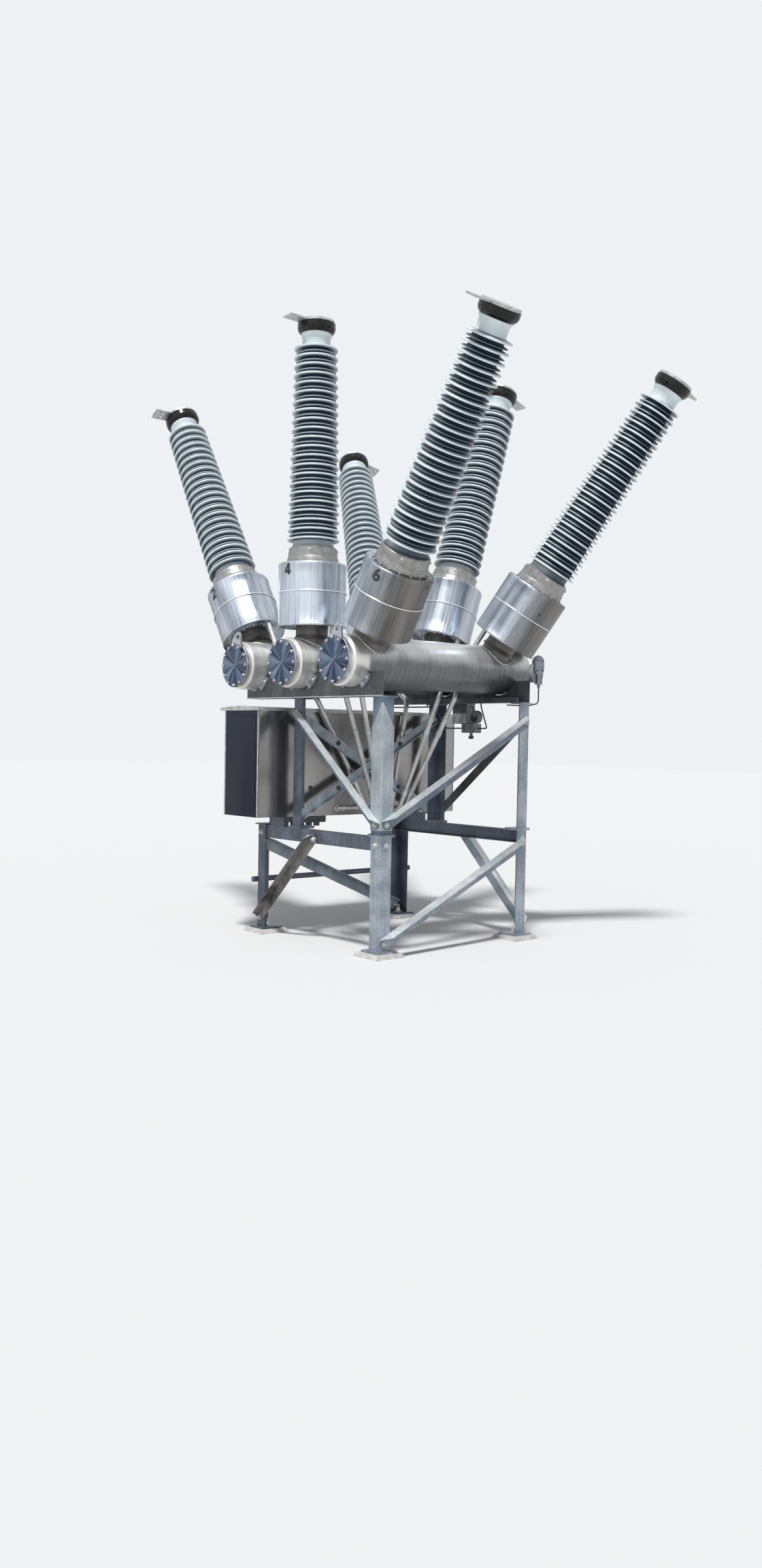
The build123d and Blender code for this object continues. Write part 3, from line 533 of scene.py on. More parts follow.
def frame_at(origin, along, across):
    """Rows x, y, z and origin: z runs along, x is across made square to z, and y = z cross x."""
    z = np.asarray(along, float) / np.linalg.norm(along)
    x = np.asarray(across, float) - np.dot(across, z) * z
    x /= np.linalg.norm(x)
    return np.array([x, np.cross(z, x), z, origin], float)


OUT = {"-y": (0, -1, 0), "+y": (0, 1, 0), "+x": (1, 0, 0), "-x": (-1, 0, 0)}


def facing(way, *place):
    """Frame on an upright face that looks that way: Z points out of it and Y is up."""
    return frame_at(place, OUT[way], np.cross((0, 0, 1), OUT[way]))


def upright(*place):
    return frame_at(place, (0, 0, 1), (1, 0, 0))


def around(angle):
    """Directions at each angle round Z: outward, sideways and up."""
    angle = np.asarray(angle, float)
    outward = np.stack([np.cos(angle), np.sin(angle), 0 * angle], axis=-1)
    up = np.broadcast_to([0.0, 0.0, 1.0], outward.shape)
    return outward, np.cross(up, outward), up


def on_top(radius, height, angle):
    """Frames at that radius and height, with their Z up."""
    outward, sideways, up = around(angle)
    return np.stack([outward, sideways, up, radius * outward + height * up], axis=1)


def on_wall(radius, height, angle):
    """Frames on a round wall, with their Z out of it."""
    outward, sideways, up = around(angle)
    return np.stack([sideways, up, outward, radius * outward + height * up], axis=1)


def on_clock(x, y, radius, turn):
    """The point on a circle about a tank's axis, at that turn from the top."""
    return x + radius * math.sin(turn), y, axis_z + radius * math.cos(turn)


def placed(shape, frames):
    """One copy in each frame: a local point (x, y, z) goes to origin + x X + y Y + z Z."""
    points, faces = shape
    frames = np.asarray(frames, float).reshape(-1, 4, 3)
    moved = np.einsum("pk,fkj->fpj", points, frames[:, :3]) + frames[:, 3][:, None]
    shift = (np.arange(len(frames)) * len(points))[:, None, None]
    return moved.reshape(-1, 3), (faces[None] + shift).reshape(-1, 4)


def sections(loop, frames):
    """A closed loop (x, y) in each frame: rows of points at origin + x X + y Y."""
    loop, frames = np.asarray(loop, float), np.asarray(frames, float)
    return frames[:, 3][:, None] + np.einsum("pk,fkj->fpj", loop, frames[:, :2])


def carried(loop, frames):
    """A bar: one loop carried through all frames, closed at both ends."""
    return capped(sections(loop, frames))


def block(outline, frame, steps):
    """A bar along one frame's Z: each step says how far and how large, so small steps can round an edge."""
    flat = np.asarray(outline, float) @ frame[:2]
    return capped(np.stack([frame[3] + rise * frame[2] + scale * flat for rise, scale in steps]))


def strip(start, end, out, half, low, high):
    """A bar from start to end on a face that looks out: half wide each way, low to high above the face."""
    start, end = np.asarray(start, float), np.asarray(end, float)
    along = (end - start) / np.linalg.norm(end - start)
    frames = [np.array([np.cross(out, along), out, along, point]) for point in (start, end)]
    return carried([(-half, low), (half, low), (half, high), (-half, high)], frames)


def together(*shapes):
    """All shapes as one: their points in a row, and each one's faces counted on from the points before it."""
    starts = np.cumsum([0] + [len(points) for points, _ in shapes[:-1]])
    return (np.concatenate([points for points, _ in shapes]),
            np.concatenate([faces + start for (_, faces), start in zip(shapes, starts)]))


def piece(name, shape, slot, replaces=(), marks=None, sharp=38, finish=None):
    """A mesh object from a shape: equal points are merged, and edges sharper than the angle stay sharp."""
    points, faces = shape
    _, first, same = np.unique(np.round(points, 6), axis=0, return_index=True, return_inverse=True)
    faces = same.reshape(-1)[faces]
    kept = faces != np.roll(faces, -1, axis=1)
    corners = kept.sum(axis=1)
    quads, threes = faces[corners == 4], faces[corners == 3]
    threes = threes[kept[corners == 3]].reshape(-1, 3)
    mesh = bpy.data.meshes.new(name)
    mesh.from_pydata(points[first].tolist(), [], quads.tolist() + threes.tolist())
    mesh.polygons.foreach_set("use_smooth", np.ones(len(mesh.polygons), bool))
    mesh.set_sharp_from_angle(angle=math.radians(sharp))
    for mark, values in (marks or {}).items():
        kind, field = ("FLOAT_VECTOR", "vector") if values.ndim == 2 else ("FLOAT", "value")
        mesh.attributes.new(mark, kind, "POINT").data.foreach_set(field, values[first].astype("f").ravel())
    made = bpy.data.objects.new(name, mesh)
    bpy.context.scene.collection.objects.link(made)
    mesh.materials.append(finishes[finish or slot])
    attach(made, "root")
    if replaces:
        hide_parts(*replaces)
    print(name, len(quads) * 2 + len(threes), "triangles")


def fasteners(name, shape):
    """Bolts and other small zinc pieces are one mesh a group, in the zinc of bolts."""
    piece(name, shape, "galvanised_steel", finish="bolt_zinc")


# %% [markdown]
# ## Where the bushings stand
# Each pole carries two bushings. Seen from the covers the outer poles lean outwards, and the rear ones also
# lean back. A frame at the tank's axis, with its Z up the bushing, lets all six share the same profiles.

# %% Where the bushings stand
OUTER_LEAN, REAR_LEAN = math.tan(math.radians(30.4)), math.tan(math.radians(17.4))
FRONT_Y, REAR_Y = -0.729, 0.635


def bushing_frame(number):
    """Even numbers are in front and odd ones behind; numbers 1, 2 are on pole 1, and so on."""
    pole, rear = (number - 1) // 2, number % 2
    lean_x, lean_y = OUTER_LEAN * (pole - 1), REAR_LEAN * rear
    return frame_at((pole_x[pole], REAR_Y if rear else FRONT_Y, axis_z), (lean_x, lean_y, 1), (1, 0, -lean_x))


bushings = {number: bushing_frame(number) for number in range(1, 7)}
stands = list(bushings.values())
print("bushings at", {n: [round(v, 2) for v in f[3]] for n, f in bushings.items()})

# %% [markdown]
# ## Sheds
# A bushing is one tapered trunk with wide and narrow sheds in turn, so rain falls clear of the next shed.
# It could be a hundred discs, but one profile turned round the axis gives the same form as a single closed
# skin. The profile of one pitch is written once, as reach (0 at the trunk, 1 at the wide tip) against height,
# and repeated by array arithmetic while trunk and tip both shrink.

# %% Sheds
COLLAR_TOP, FIRST_SHED, SHED_PITCH, SHED_COUNT, SHED_SIDES = 0.955, 1.024, 0.0742, 22, 52
TRUNK, TIP, NECK, CAP_START = (0.170, 0.118), (0.215, 0.179), 0.116, 2.705
# Each row is reach, height and how bright it is: undersides and the trunk are painted dark as painted shade,
# tips and tops stay pale.
WIDE_SHED = [(0.0, -0.012, 0.0), (0.30, -0.009, 0.15), (0.60, -0.009, 0.45), (0.93, -0.010, 0.9),
             (0.985, -0.009, 1.0), (1.0, -0.005, 1.0), (1.0, 0.0, 1.0), (0.97, 0.003, 1.0),
             (0.5, 0.008, 0.88), (0.12, 0.013, 0.40)]
NARROW_SHED = [(0.0, 0.0245, 0.0), (0.30, 0.0275, 0.15), (0.62, 0.0270, 0.35), (0.68, 0.0285, 0.65),
               (0.68, 0.0325, 0.75), (0.64, 0.0345, 0.65), (0.34, 0.0390, 0.45), (0.1, 0.0430, 0.10)]
SHADE_STEEPNESS, SHADE_POWER, FOOT_BRIGHT = 2.4, 4.5, 0.55

count = np.arange(SHED_COUNT)[:, None]
reach, height, bright = np.array(WIDE_SHED + NARROW_SHED).T
trunk, tip = (a + count / (SHED_COUNT - 1) * (b - a) for a, b in (TRUNK, TIP))
rows = np.stack(np.broadcast_arrays(
    trunk + reach * (tip - trunk), FIRST_SHED + count * SHED_PITCH + height, bright
), axis=-1).reshape(-1, 3)[:-len(NARROW_SHED)]
foot = [(0, 0), (0.176, 0), (0.179, 0.003), (0.179, 0.010), (0.170, 0.014), (0.168, 0.046)]
head = [(NECK + 0.001, 2.604), (NECK, 2.612), (NECK, 2.676), (0.124, 2.684), (0.1275, 2.692),
        (0.1275, CAP_START), (0, CAP_START)]
column = turned([*np.add(foot, (0, COLLAR_TOP)), *rows[:, :2], *head], SHED_SIDES)
brightness = np.repeat([FOOT_BRIGHT] * len(foot) + [*rows[:, 2]] + [1.0] * len(head), SHED_SIDES)


def facing_down(points, stand):
    """How far a point's wall leans over the ground: a few times the fall of its outward direction."""
    reach = np.maximum(np.linalg.norm(points[:, :2], axis=1, keepdims=True), 1e-9)
    return np.clip(-SHADE_STEEPNESS * (points[:, :2] / reach @ stand[:2, 2]), 0, 1)


for number, stand in bushings.items():
    # A side that leans over the ground is painted darker as painted shade, all but the tips.
    marks = {"bright": brightness ** (1 + SHADE_POWER * facing_down(column[0], stand))}
    piece("bushing_%d_sheds" % number, placed(column, stand), "shed_grey", ["bushing_%d" % number],
          marks, sharp=50)

# %% [markdown]
# ## Instrument cans
# A can is rolled sheet: a rounded shoulder at the top, a pressed bead halfway and a hem round the open
# bottom, where a flange shows in the recess. All of it is one closed profile. Each point also stores its
# place in the can's own frame, so that the grain can follow the can although the can leans.

# %% Instrument cans
CAN_RADIUS, CAN_LOW, CAN_HIGH, BEAD_HEIGHT, BORE = 0.281, 0.302, 0.823, 0.583, 0.1323
under = [(BORE, 0.336), (0.150, 0.336), (0.150, 0.324), (0.152, 0.322), (0.196, 0.322), (0.198, 0.324),
         (0.198, 0.336), (0.272, 0.336), (0.275, 0.333), (0.275, 0.304), (0.277, CAN_LOW), (0.280, CAN_LOW),
         (0.2825, 0.3045), (0.2825, 0.3175), (CAN_RADIUS, 0.319), (CAN_RADIUS, 0.43), (CAN_RADIUS, 0.54)]
bead = arc(CAN_RADIUS, BEAD_HEIGHT, 0.007, 0.0085, -90, 90, 7)
middle = [(CAN_RADIUS, 0.64), (CAN_RADIUS, 0.72), (CAN_RADIUS, 0.788), (CAN_RADIUS + 0.0015, 0.790)]
shoulder = arc(CAN_RADIUS - 0.014, CAN_HIGH - 0.016, 0.0155, 0.016, 0, 90, 7)
top = [(0.236, CAN_HIGH), (0.234, CAN_HIGH - 0.0015), (BORE, CAN_HIGH - 0.0015)]
can = ring([*under, *bead, *middle, *shoulder, *top], 96)

LAP_WIDTH, LAP_IN, LAP_OUT, LAP_LOW, LAP_HIGH = 0.034, CAN_RADIUS - 0.001, CAN_RADIUS + 0.002, 0.320, 0.788
REAR_LAP, FRONT_LAP, GRAIN_SHIFT = math.radians(-18), math.radians(-14), 1.7


def lap(middle):
    """Where the rolled sheet overlaps: a thin plate on the round wall, carried through a few angles."""
    outward, sideways, up = around(middle + np.linspace(0.5, -0.5, 6) * LAP_WIDTH / LAP_IN)
    loop = [(LAP_IN, LAP_LOW), (LAP_OUT, LAP_LOW), (LAP_OUT, LAP_HIGH), (LAP_IN, LAP_HIGH)]
    return carried(loop, np.stack([outward, up, -sideways, 0 * up], axis=1))


for number, stand in bushings.items():
    local = together(can, lap(REAR_LAP if number % 2 else FRONT_LAP))
    marks = {"own": local[0] + [number * GRAIN_SHIFT, 0, 0], "down": facing_down(local[0], stand)}
    piece("instrument_can_%d_shell" % number, placed(local, stand), "can_metal",
          ["instrument_can_%d" % number], marks, sharp=50)

BEVEL, CROWN, STUD_SHARE, WASHER = 0.14, 0.88, 0.55, 0.003


def hex_bolt(radius, height, washer=0.0, stud=0.0):
    """Six-sided bevelled head: a profile turned in six steps, with a round washer and a stud if asked."""
    low = WASHER if washer else 0.0
    high = low + height
    end = [(radius * STUD_SHARE, high), (radius * STUD_SHARE, high + stud)] if stud else []
    head = turned([(0, low), (radius, low), (radius, high - BEVEL * height), (radius * CROWN, high), *end,
                   (0, high + stud)], 6)
    return together(head, turned([(0, 0), (washer, 0), (washer, low), (0, low)], 14)) if washer else head


wire = [(0.0064, -0.0035), (0.0078, -0.0025), (0.0078, 0.0030), (0.0064, 0.0040)]
# The seam bead is painted far brighter than the can: a painted highlight.
piece("can_seam_wires", placed(ring(np.add(wire, (CAN_RADIUS, BEAD_HEIGHT)), 96), stands), "galvanised_steel",
      finish="seam_bright")
flange_bolt = placed(hex_bolt(0.010, 0.008), [[(1, 0, 0), (0, -1, 0), (0, 0, -1), (0, 0, 0)]])
can_bolts = together(
    placed(hex_bolt(0.0085, 0.007), on_top(0.2235, CAN_HIGH, 0.1 + np.arange(16) * np.pi / 8)),
    placed(flange_bolt, on_top(0.174, 0.322, np.arange(12) * np.pi / 6)))
fasteners("can_bolts", placed(can_bolts, stands))

# The rear can of the near pole has a small open hole: a turned rim on a frame that points out of the wall.
HOLE_HEIGHT, HOLE_ANGLE = 0.66, [-0.41]
rim = turned([(0, -0.001), (0.0105, -0.001), (0.0105, 0.0008), (0.0085, 0.0016), (0.0070, 0.0005),
              (0, 0.0005)], 24)
rim = placed(rim, on_wall(CAN_RADIUS, HOLE_HEIGHT, HOLE_ANGLE))
piece("can_hole", placed(rim, bushings[5]), "dark_metal", finish="pipe_black")

# %% [markdown]
# ## Pole numbers
# Plain black numbers mark the cans. Each is painted with a few broad strokes, so it is written here as lines
# and arcs in a box one unit high, with a flat strip carried along them. Wrapping a stroke on the can is one
# formula: the sideways place u becomes an angle, u / radius, and the upward place becomes height.

# %% Pole numbers
STROKE_WIDTH, DIGIT_HEIGHT, PAINT, UNDER_PAINT = 0.23, 0.096, 0.0009, -0.0004
STEP_HEIGHT, STEP_RISE = 0.7885, 0.0015


def line(*points):
    """Eight points on each straight run, so that a long stroke still follows the round can."""
    runs = [np.linspace(a, b, 8)[:-1] for a, b in zip(points, points[1:])]
    return np.concatenate([*runs, [points[-1]]])


STROKES = {
    1: [line((-0.20, 0.74), (0.02, 0.90)), line((0.04, 0.0), (0.04, 1.0))],
    2: [arc(0, 0.66, 0.24, 0.26, 165, -35), line((0.19, 0.51), (-0.24, 0.10)),
        line((-0.32, 0.08), (0.32, 0.08))],
    3: [arc(0, 0.70, 0.21, 0.22, 150, -90), arc(0, 0.27, 0.25, 0.22, 90, -150)],
    4: [line((0.08, 0.94), (-0.27, 0.34)), line((-0.36, 0.28), (0.36, 0.28)), line((0.13, 0.0), (0.13, 1.0))],
    5: [line((0.28, 0.92), (-0.22, 0.92)), line((-0.19, 0.92), (-0.22, 0.56)),
        arc(-0.01, 0.33, 0.26, 0.25, 130, -150)],
    6: [arc(0, 0.29, 0.24, 0.22, 0, 360, 24), arc(0.22, 0.30, 0.46, 0.62, 180, 100)],
}
# Where each number sits: the angle round the can and the height along it.
DIGIT_PLACE = {1: (1.60, 0.755), 2: (-1.60, 0.748), 3: (1.60, 0.755), 4: (-1.46, 0.759), 5: (1.60, 0.755),
               6: (-1.27, 0.758)}


def painted(middle, level, strokes):
    """Strips (u, v, w) in the can's frame: angle = middle + u / R, height = level + v, radius = R + w."""
    shapes = []
    for layer, stroke in enumerate(strokes):
        stroke = (stroke - [0, 0.5]) * DIGIT_HEIGHT
        ahead = np.gradient(stroke, axis=0)
        ahead /= np.linalg.norm(ahead, axis=1, keepdims=True)
        beside = np.stack([ahead[:, 1], -ahead[:, 0]], axis=-1) * STROKE_WIDTH * DIGIT_HEIGHT / 2
        flat = np.stack([stroke + beside, stroke + beside, stroke - beside, stroke - beside], axis=1)
        lift = PAINT * (1 + 0.15 * layer)
        angle, height = middle + flat[..., 0] / CAN_RADIUS, level + flat[..., 1]
        radius = CAN_RADIUS + np.array([UNDER_PAINT, lift, lift, UNDER_PAINT])
        radius = radius + np.where(height > STEP_HEIGHT, STEP_RISE, 0.0)
        shapes.append(capped(np.stack([radius * np.cos(angle), radius * np.sin(angle), height], axis=-1)))
    return together(*shapes)


for number, (middle, level) in DIGIT_PLACE.items():
    digit = painted(middle, level, STROKES[number])
    piece("can_%d_number" % number, placed(digit, bushings[number]), "pipe_black", sharp=30)

# %% [markdown]
# ## Collar bands
# Each collar has a slightly wider foot with a dark groove above it, and four small bolts near its top. The
# foot is a ring that follows the cone, r = 0.211 at the can's top and 0.199 at the collar's.

# %% Collar bands
COLLAR_BOLT_HEIGHT = 0.928


def cone(height, proud=0.0):
    """The collar's radius at a height, and a little more if the ring stands proud of it."""
    return 0.211 - 0.012 * (height - CAN_HIGH) / (COLLAR_TOP - CAN_HIGH) + proud


foot_band = ring([(cone(0.824, -0.002), 0.824), (cone(0.824, 0.005), 0.824), (cone(0.872, 0.005), 0.870),
                  (cone(0.875, 0.002), 0.875), (cone(0.875, -0.002), 0.875)], 72)
seats = on_wall(cone(COLLAR_BOLT_HEIGHT), COLLAR_BOLT_HEIGHT, np.radians([-45, 45, 135, 225]))
piece("collar_bands", placed(foot_band, stands), "collar_grey")
fasteners("collar_bolts", placed(placed(hex_bolt(0.0085, 0.007, washer=0.012), seats), stands))

# %% [markdown]
# ## Welds round the nozzles
# A weld is a small bead along the curve where two skins meet. The curve comes from a formula: a line parallel
# to the leaning axis, at angle t round it, meets the round tank where x squared + z squared = R squared.

# %% Welds round the nozzles
WELD_RING, WELD_BEAD = 0.150, 0.0055


def tube_frames(points, closed=False):
    """Frames along a line of points: z is the way to the next point, x is square to it and nearly level."""
    points = np.asarray(points, float)
    along = (np.roll(points, -1, axis=0) - np.roll(points, 1, axis=0) if closed
             else np.gradient(points, axis=0))
    along /= np.linalg.norm(along, axis=1, keepdims=True)
    x = np.cross(np.where(np.abs(along[:, 2:]) > 0.9, [[1.0, 0.0, 0.0]], [[0.0, 0.0, 1.0]]), along)
    x /= np.linalg.norm(x, axis=1, keepdims=True)
    return np.stack([x, np.cross(along, x), along, points], axis=1)


welds = []
for stand in stands:
    rise, axis = stand[2], stand[3] * [1, 0, 1]
    start = stand[3] + circle(WELD_RING, 96) @ stand[:2] - axis
    a = rise[0] ** 2 + rise[2] ** 2
    b = start[:, 0] * rise[0] + start[:, 2] * rise[2]
    c = start[:, 0] ** 2 + start[:, 2] ** 2 - tank_radius ** 2
    on_tank = start + ((-b + np.sqrt(b * b - a * c)) / a)[:, None] * rise + axis
    rows = sections(circle(WELD_BEAD, 8), tube_frames(on_tank, closed=True))
    welds.append(grid(np.concatenate([rows, rows[:1]])))
piece("nozzle_welds", together(*welds), "tank_metal", finish="bolt_zinc")

# %% [markdown]
# ## Covers
# Twelve bolts hold each cover, each on a dark ring that is a painted shadow. On the outer poles two of them
# also hold the lifting lug, so they sit higher, on its plate. A thin bright strip crosses each cover as a
# painted highlight; it is a flat strip half a millimetre high. A bolt's place comes from its hour on a clock
# face, so one loop seats all of them.

# %% Cover bolts and lines
COVER_FACE, COVER_BOLT_RING, LUG_PLATE = -1.035, 0.170, 0.016
LINE_ANGLE, LINE_HALF, LINE_WIDE = math.radians(38), 0.160, 0.0028
seats, glints = [], []
slope = LINE_HALF * np.array([math.cos(LINE_ANGLE), 0, math.sin(LINE_ANGLE)])
for index, x in enumerate(pole_x):
    for hour in range(12):
        turn, face = math.radians(30 * hour), COVER_FACE - (LUG_PLATE if hour < 2 and index != 1 else 0.0)
        seats.append(frame_at(on_clock(x, face, COVER_BOLT_RING, turn), (0, -1, 0),
                              (math.cos(turn * 3), 0, math.sin(turn * 3))))
    middle = np.array([x, COVER_FACE, axis_z])
    # A bright strip across each cover is a painted highlight.
    glints.append(strip(middle - slope, middle + slope, (0, -1, 0), LINE_WIDE / 2, -0.0002, 0.0006))
fasteners("cover_bolts", placed(hex_bolt(0.0115, 0.010, washer=0.013, stud=0.005), seats))
# A dark ring under each bolt is a painted shadow.
bolt_shadow = ring([(0.0128, 0.0002), (0.0162, 0.0002), (0.0162, 0.0012), (0.0152, 0.0020), (0.0128, 0.0020)], 18)
piece("cover_grommets", placed(bolt_shadow, seats), "dark_metal", finish="pipe_black")
piece("cover_lines", together(*glints), "cover_metal", finish="bolt_zinc")

# A turned rim between cover and barrel, one for each pole.
rim = ring([(0.1885, 1.0345), (0.1885, 1.0085), (0.1905, 1.0105), (0.1905, 1.0325)], 96)
piece("cover_rims", placed(rim, [facing("-y", x, 0, axis_z) for x in pole_x]), "terminal_metal")

# %% [markdown]
# ## Bolts of the frame
# Each brace is held by one bolt at either end, and each lower leg has two more near its top, where the beams
# sit inside. A bolt is a head in a frame whose Z points out of the steel, so a list of places is enough. The
# saddle beams carry the tanks on tongues, four bolts for each tank, and a thin pale strip along their upper
# edges is a painted highlight.

# %% Bolts of the frame
FRAME_BOLTS = {
    "-y": [(0.763, -0.842, 1.026), (-0.270, -0.842, 1.879), (-0.022, -0.834, 0.856), (-0.763, -0.834, 0.124),
           (-0.095, -0.828, 0.868), (-0.754, -0.828, 0.866), (0.754, -0.828, 0.866)],
    "+y": [(-0.270, 0.834, 1.026), (0.763, 0.834, 1.879), (0.022, 0.834, 0.856), (0.763, 0.834, 0.124),
           (0.095, 0.828, 0.868), (-0.754, 0.828, 0.866), (0.754, 0.828, 0.866)],
    "+x": [(0.825, -0.780, 1.026), (0.825, 0.780, 1.855), (0.817, -0.780, 0.106), (0.817, 0.780, 0.823),
           (-0.797, 0.772, 0.106), (-0.797, -0.772, 0.770), (-0.304, -0.772, 1.026), (-0.304, 0.772, 1.879),
           (0.811, -0.771, 0.866), (0.811, 0.771, 0.866)],
    "-x": [(-0.324, -0.780, 1.879), (-0.324, 0.780, 1.026), (-0.811, -0.771, 0.866), (-0.811, 0.771, 0.866)],
}
ODD_TURN = (0.26, 0.31, 0.9)
seats = [frame_at(place, OUT[way], ODD_TURN) for way, places in FRAME_BOLTS.items() for place in places]
fasteners("frame_bolts", placed(hex_bolt(0.0155, 0.013, washer=0.021, stud=0.009), seats))

TONGUE_RADIUS, TONGUE_END, TONGUE_TURN, BEAM_Y, BEAM_END = 0.225, 0.205, math.radians(62), 0.842, -1.005
seats = []
for x in pole_x:
    for turn in np.radians([-53, -36, 36, 53]):
        # The beams end inside the outermost tongue, which therefore has no bolts.
        if x + TONGUE_END * math.sin(math.copysign(TONGUE_TURN, turn)) < BEAM_END:
            continue
        seats += [frame_at(on_clock(x, side * BEAM_Y, TONGUE_RADIUS, math.pi - turn),
                           (0, side, 0), (0.3, 0, 1)) for side in (-1, 1)]
fasteners("lug_bolts", placed(hex_bolt(0.011, 0.010, washer=0.015, stud=0.006), seats))

EDGE_TO, EDGE_Y, EDGE_Z = 0.811, 0.828, 2.021
# A thin pale strip on each beam edge is a painted highlight.
highlights = [strip((a, y, EDGE_Z), (b, y, EDGE_Z), (0, math.copysign(1, y), 0), 0.0038, -0.0005, 0.0015)
         for a, b, y in ((EDGE_TO, BEAM_END, -EDGE_Y), (BEAM_END, EDGE_TO, EDGE_Y))]
piece("beam_edges", together(*highlights), "galvanised_steel", finish="conduit_metal")

plug = turned([(0, 0), (0.021, 0), (0.021, 0.008), (0.017, 0.012), (0.011, 0.0125), (0.009, 0.009),
               (0, 0.009)], 20)
PLUGS = [(-0.304, -0.35, 1.259), (-0.304, 0.35, 1.646), (-0.318, -0.35, 1.644), (-0.318, 0.35, 1.261)]
piece("brace_plugs", placed(plug, [facing("+x", *place) for place in PLUGS]), "dark_metal",
      finish="pipe_black")

# %% [markdown]
# ## Anchors
# A stud comes out of the grout through each foot plate, with a square washer, a nut and a spare length of
# thread. The thread is a zigzag profile turned round the stud's axis.

# %% Anchors
FOOT_TOP, STUD, STUD_TOP, THREAD, THREAD_DEPTH = 0.050, 0.012, 0.118, 0.003, 0.0012
ridge = np.arange(0.086, STUD_TOP - 0.004, THREAD / 2)
thread = np.stack([STUD - THREAD_DEPTH * (np.arange(len(ridge)) % 2), ridge], axis=-1)
stud = turned([(0, 0.004), (STUD, 0.004), (STUD, 0.085), *thread, (STUD - 0.003, STUD_TOP),
               (0, STUD_TOP)], 14)
nut = ring(np.add([(STUD, 0.006), (0.020, 0.006), (0.0215, 0.009), (0.0215, 0.027), (0.019, 0.030),
                   (STUD, 0.030)], (0, FOOT_TOP)), 6)
washer = block([(0.030, 0.030), (-0.030, 0.030), (-0.030, -0.030), (0.030, -0.030)], upright(0, 0, FOOT_TOP),
               [(0, 1), (0.006, 1)])
seats = [frame_at((x, y, 0), (0, 0, 1), (1, 0.2, 0)) for x in (-0.749, 0.749) for y in (-0.766, 0.766)]
fasteners("anchors", placed(together(stud, nut, washer), seats))

# %% [markdown]
# ## Drive end
# The near pole's crank housing has a tall cover with round ends, and under it a small switch box with a lead.
# The cover's outline is two half circles. It is carried along X to give it depth, with a wider flange on the
# way, and a slightly smaller last section makes the rounded edge.

# %% Drive end
COVER_X, COVER_Y, COVER_Z, LEAD_X, SWITCH_Y, SWITCH_Z = 0.552, 1.239, 2.367, 0.533, 1.249, 2.242
DRIVE_RING, DRIVE_FACE = 0.100, 1.018
half_round = arc(0, 0.026, 0.061, 0.061, 0, 180, 10)
cover = block([*half_round, *-half_round], facing("+x", 0, COVER_Y, COVER_Z), [
    (0.512, 1), (0.528, 1), (0.528, 1.06), (0.536, 1.06), (0.536, 1), (COVER_X - 0.003, 1), (COVER_X, 0.96)])
switch = block(rounded(0.033, 0.044, 0.006), facing("+x", 0, SWITCH_Y, SWITCH_Z),
               [(0.518, 1), (0.545, 1), (0.548, 0.93)])
gland = turned([(0, 2.160), (0.010, 2.160), (0.010, 2.176), (0.015, 2.176), (0.015, 2.190), (0.012, 2.192),
                (0.012, 2.200), (0, 2.200)], 12)
gland = placed(gland, upright(LEAD_X, SWITCH_Y, 0))
piece("drive_cover", together(cover, switch, gland), "tank_metal", finish="cover_blue")
corners = [frame_at((COVER_X, COVER_Y + dy, COVER_Z + dz), (1, 0, 0), (0, 0.4, 1))
           for dy in (-0.036, 0.036) for dz in (-0.046, 0.046)]
seats = [frame_at(on_clock(x, DRIVE_FACE, DRIVE_RING, turn), (0, 1, 0), (1, 0, 0))
         for x in pole_x for turn in np.radians(np.arange(12) * 30 + 15)]
bolts = together(placed(hex_bolt(0.008, 0.006), corners), placed(hex_bolt(0.009, 0.008, washer=0.012), seats))
piece("drive_bolts", bolts, "galvanised_steel", finish="dark_metal")


def bent_path(points, radius, step=5):
    """Arcs replace the corners: each starts and ends t = r tan(a / 2) from its corner."""
    points = np.asarray(points, float)
    path = [points[0][None]]
    for before, corner, after in zip(points, points[1:], points[2:]):
        come, go = (way / np.linalg.norm(way) for way in (corner - before, after - corner))
        half = math.acos(np.clip(come @ go, -1, 1)) / 2
        middle = corner + (go - come) / np.linalg.norm(go - come) * radius / math.cos(half)
        spoke = corner - come * radius * math.tan(half) - middle
        turn = np.linspace(0, 2 * half, step)[:, None]
        path.append(middle + np.cos(turn) * spoke + np.sin(turn) * radius * come)
    return np.concatenate([*path, points[-1][None]])


lead = bent_path([(LEAD_X, y, z) for y, z in (
    (SWITCH_Y, 2.164), (SWITCH_Y, 2.030), (1.10, 2.004), (0.845, 2.004))], 0.040)
piece("drive_lead", carried(circle(0.006, 10), tube_frames(lead)), "pipe_black")

# %% [markdown]
# ## Monitor details
# The density monitor hangs under the rear saddle beam. Its gauge gets a bezel, a dark dial with ticks and a
# pointer; its box gets lids with screws; and the valve gets a knurled handle, whose outline is a wavy circle.

# %% Monitor details
GAUGE_RADIUS, GLASS_RADIUS, KNOB_RADIUS, KNOB_WAVE = 0.055, 0.0465, 0.021, 0.0018
BOX_X, LID_Y, BOX_Z, HOOD_Z, VALVE_X, VALVE_Y = 0.097, 0.7005, 1.884, 1.974, 0.1955, 0.750
dial = facing("-y", 0.277, 0.705, 1.896)
bezel = ring([(GAUGE_RADIUS + 0.0002, -0.040), (GAUGE_RADIUS + 0.003, -0.038), (GAUGE_RADIUS + 0.003, 0.003),
              (GAUGE_RADIUS, 0.007), (0.0475, 0.007), (GLASS_RADIUS, 0.0015), (GLASS_RADIUS, -0.001),
              (GAUGE_RADIUS + 0.0002, -0.001)], 48)
glass = turned([(0, 0.0003), (GLASS_RADIUS, 0.0003), (GLASS_RADIUS, 0.0030), (0.030, 0.0036),
                (0, 0.0038)], 40)
piece("gauge_bezel", placed(bezel, dial), "gauge_metal")
piece("gauge_glass", placed(glass, dial), "gauge_metal", finish="glass_dark")


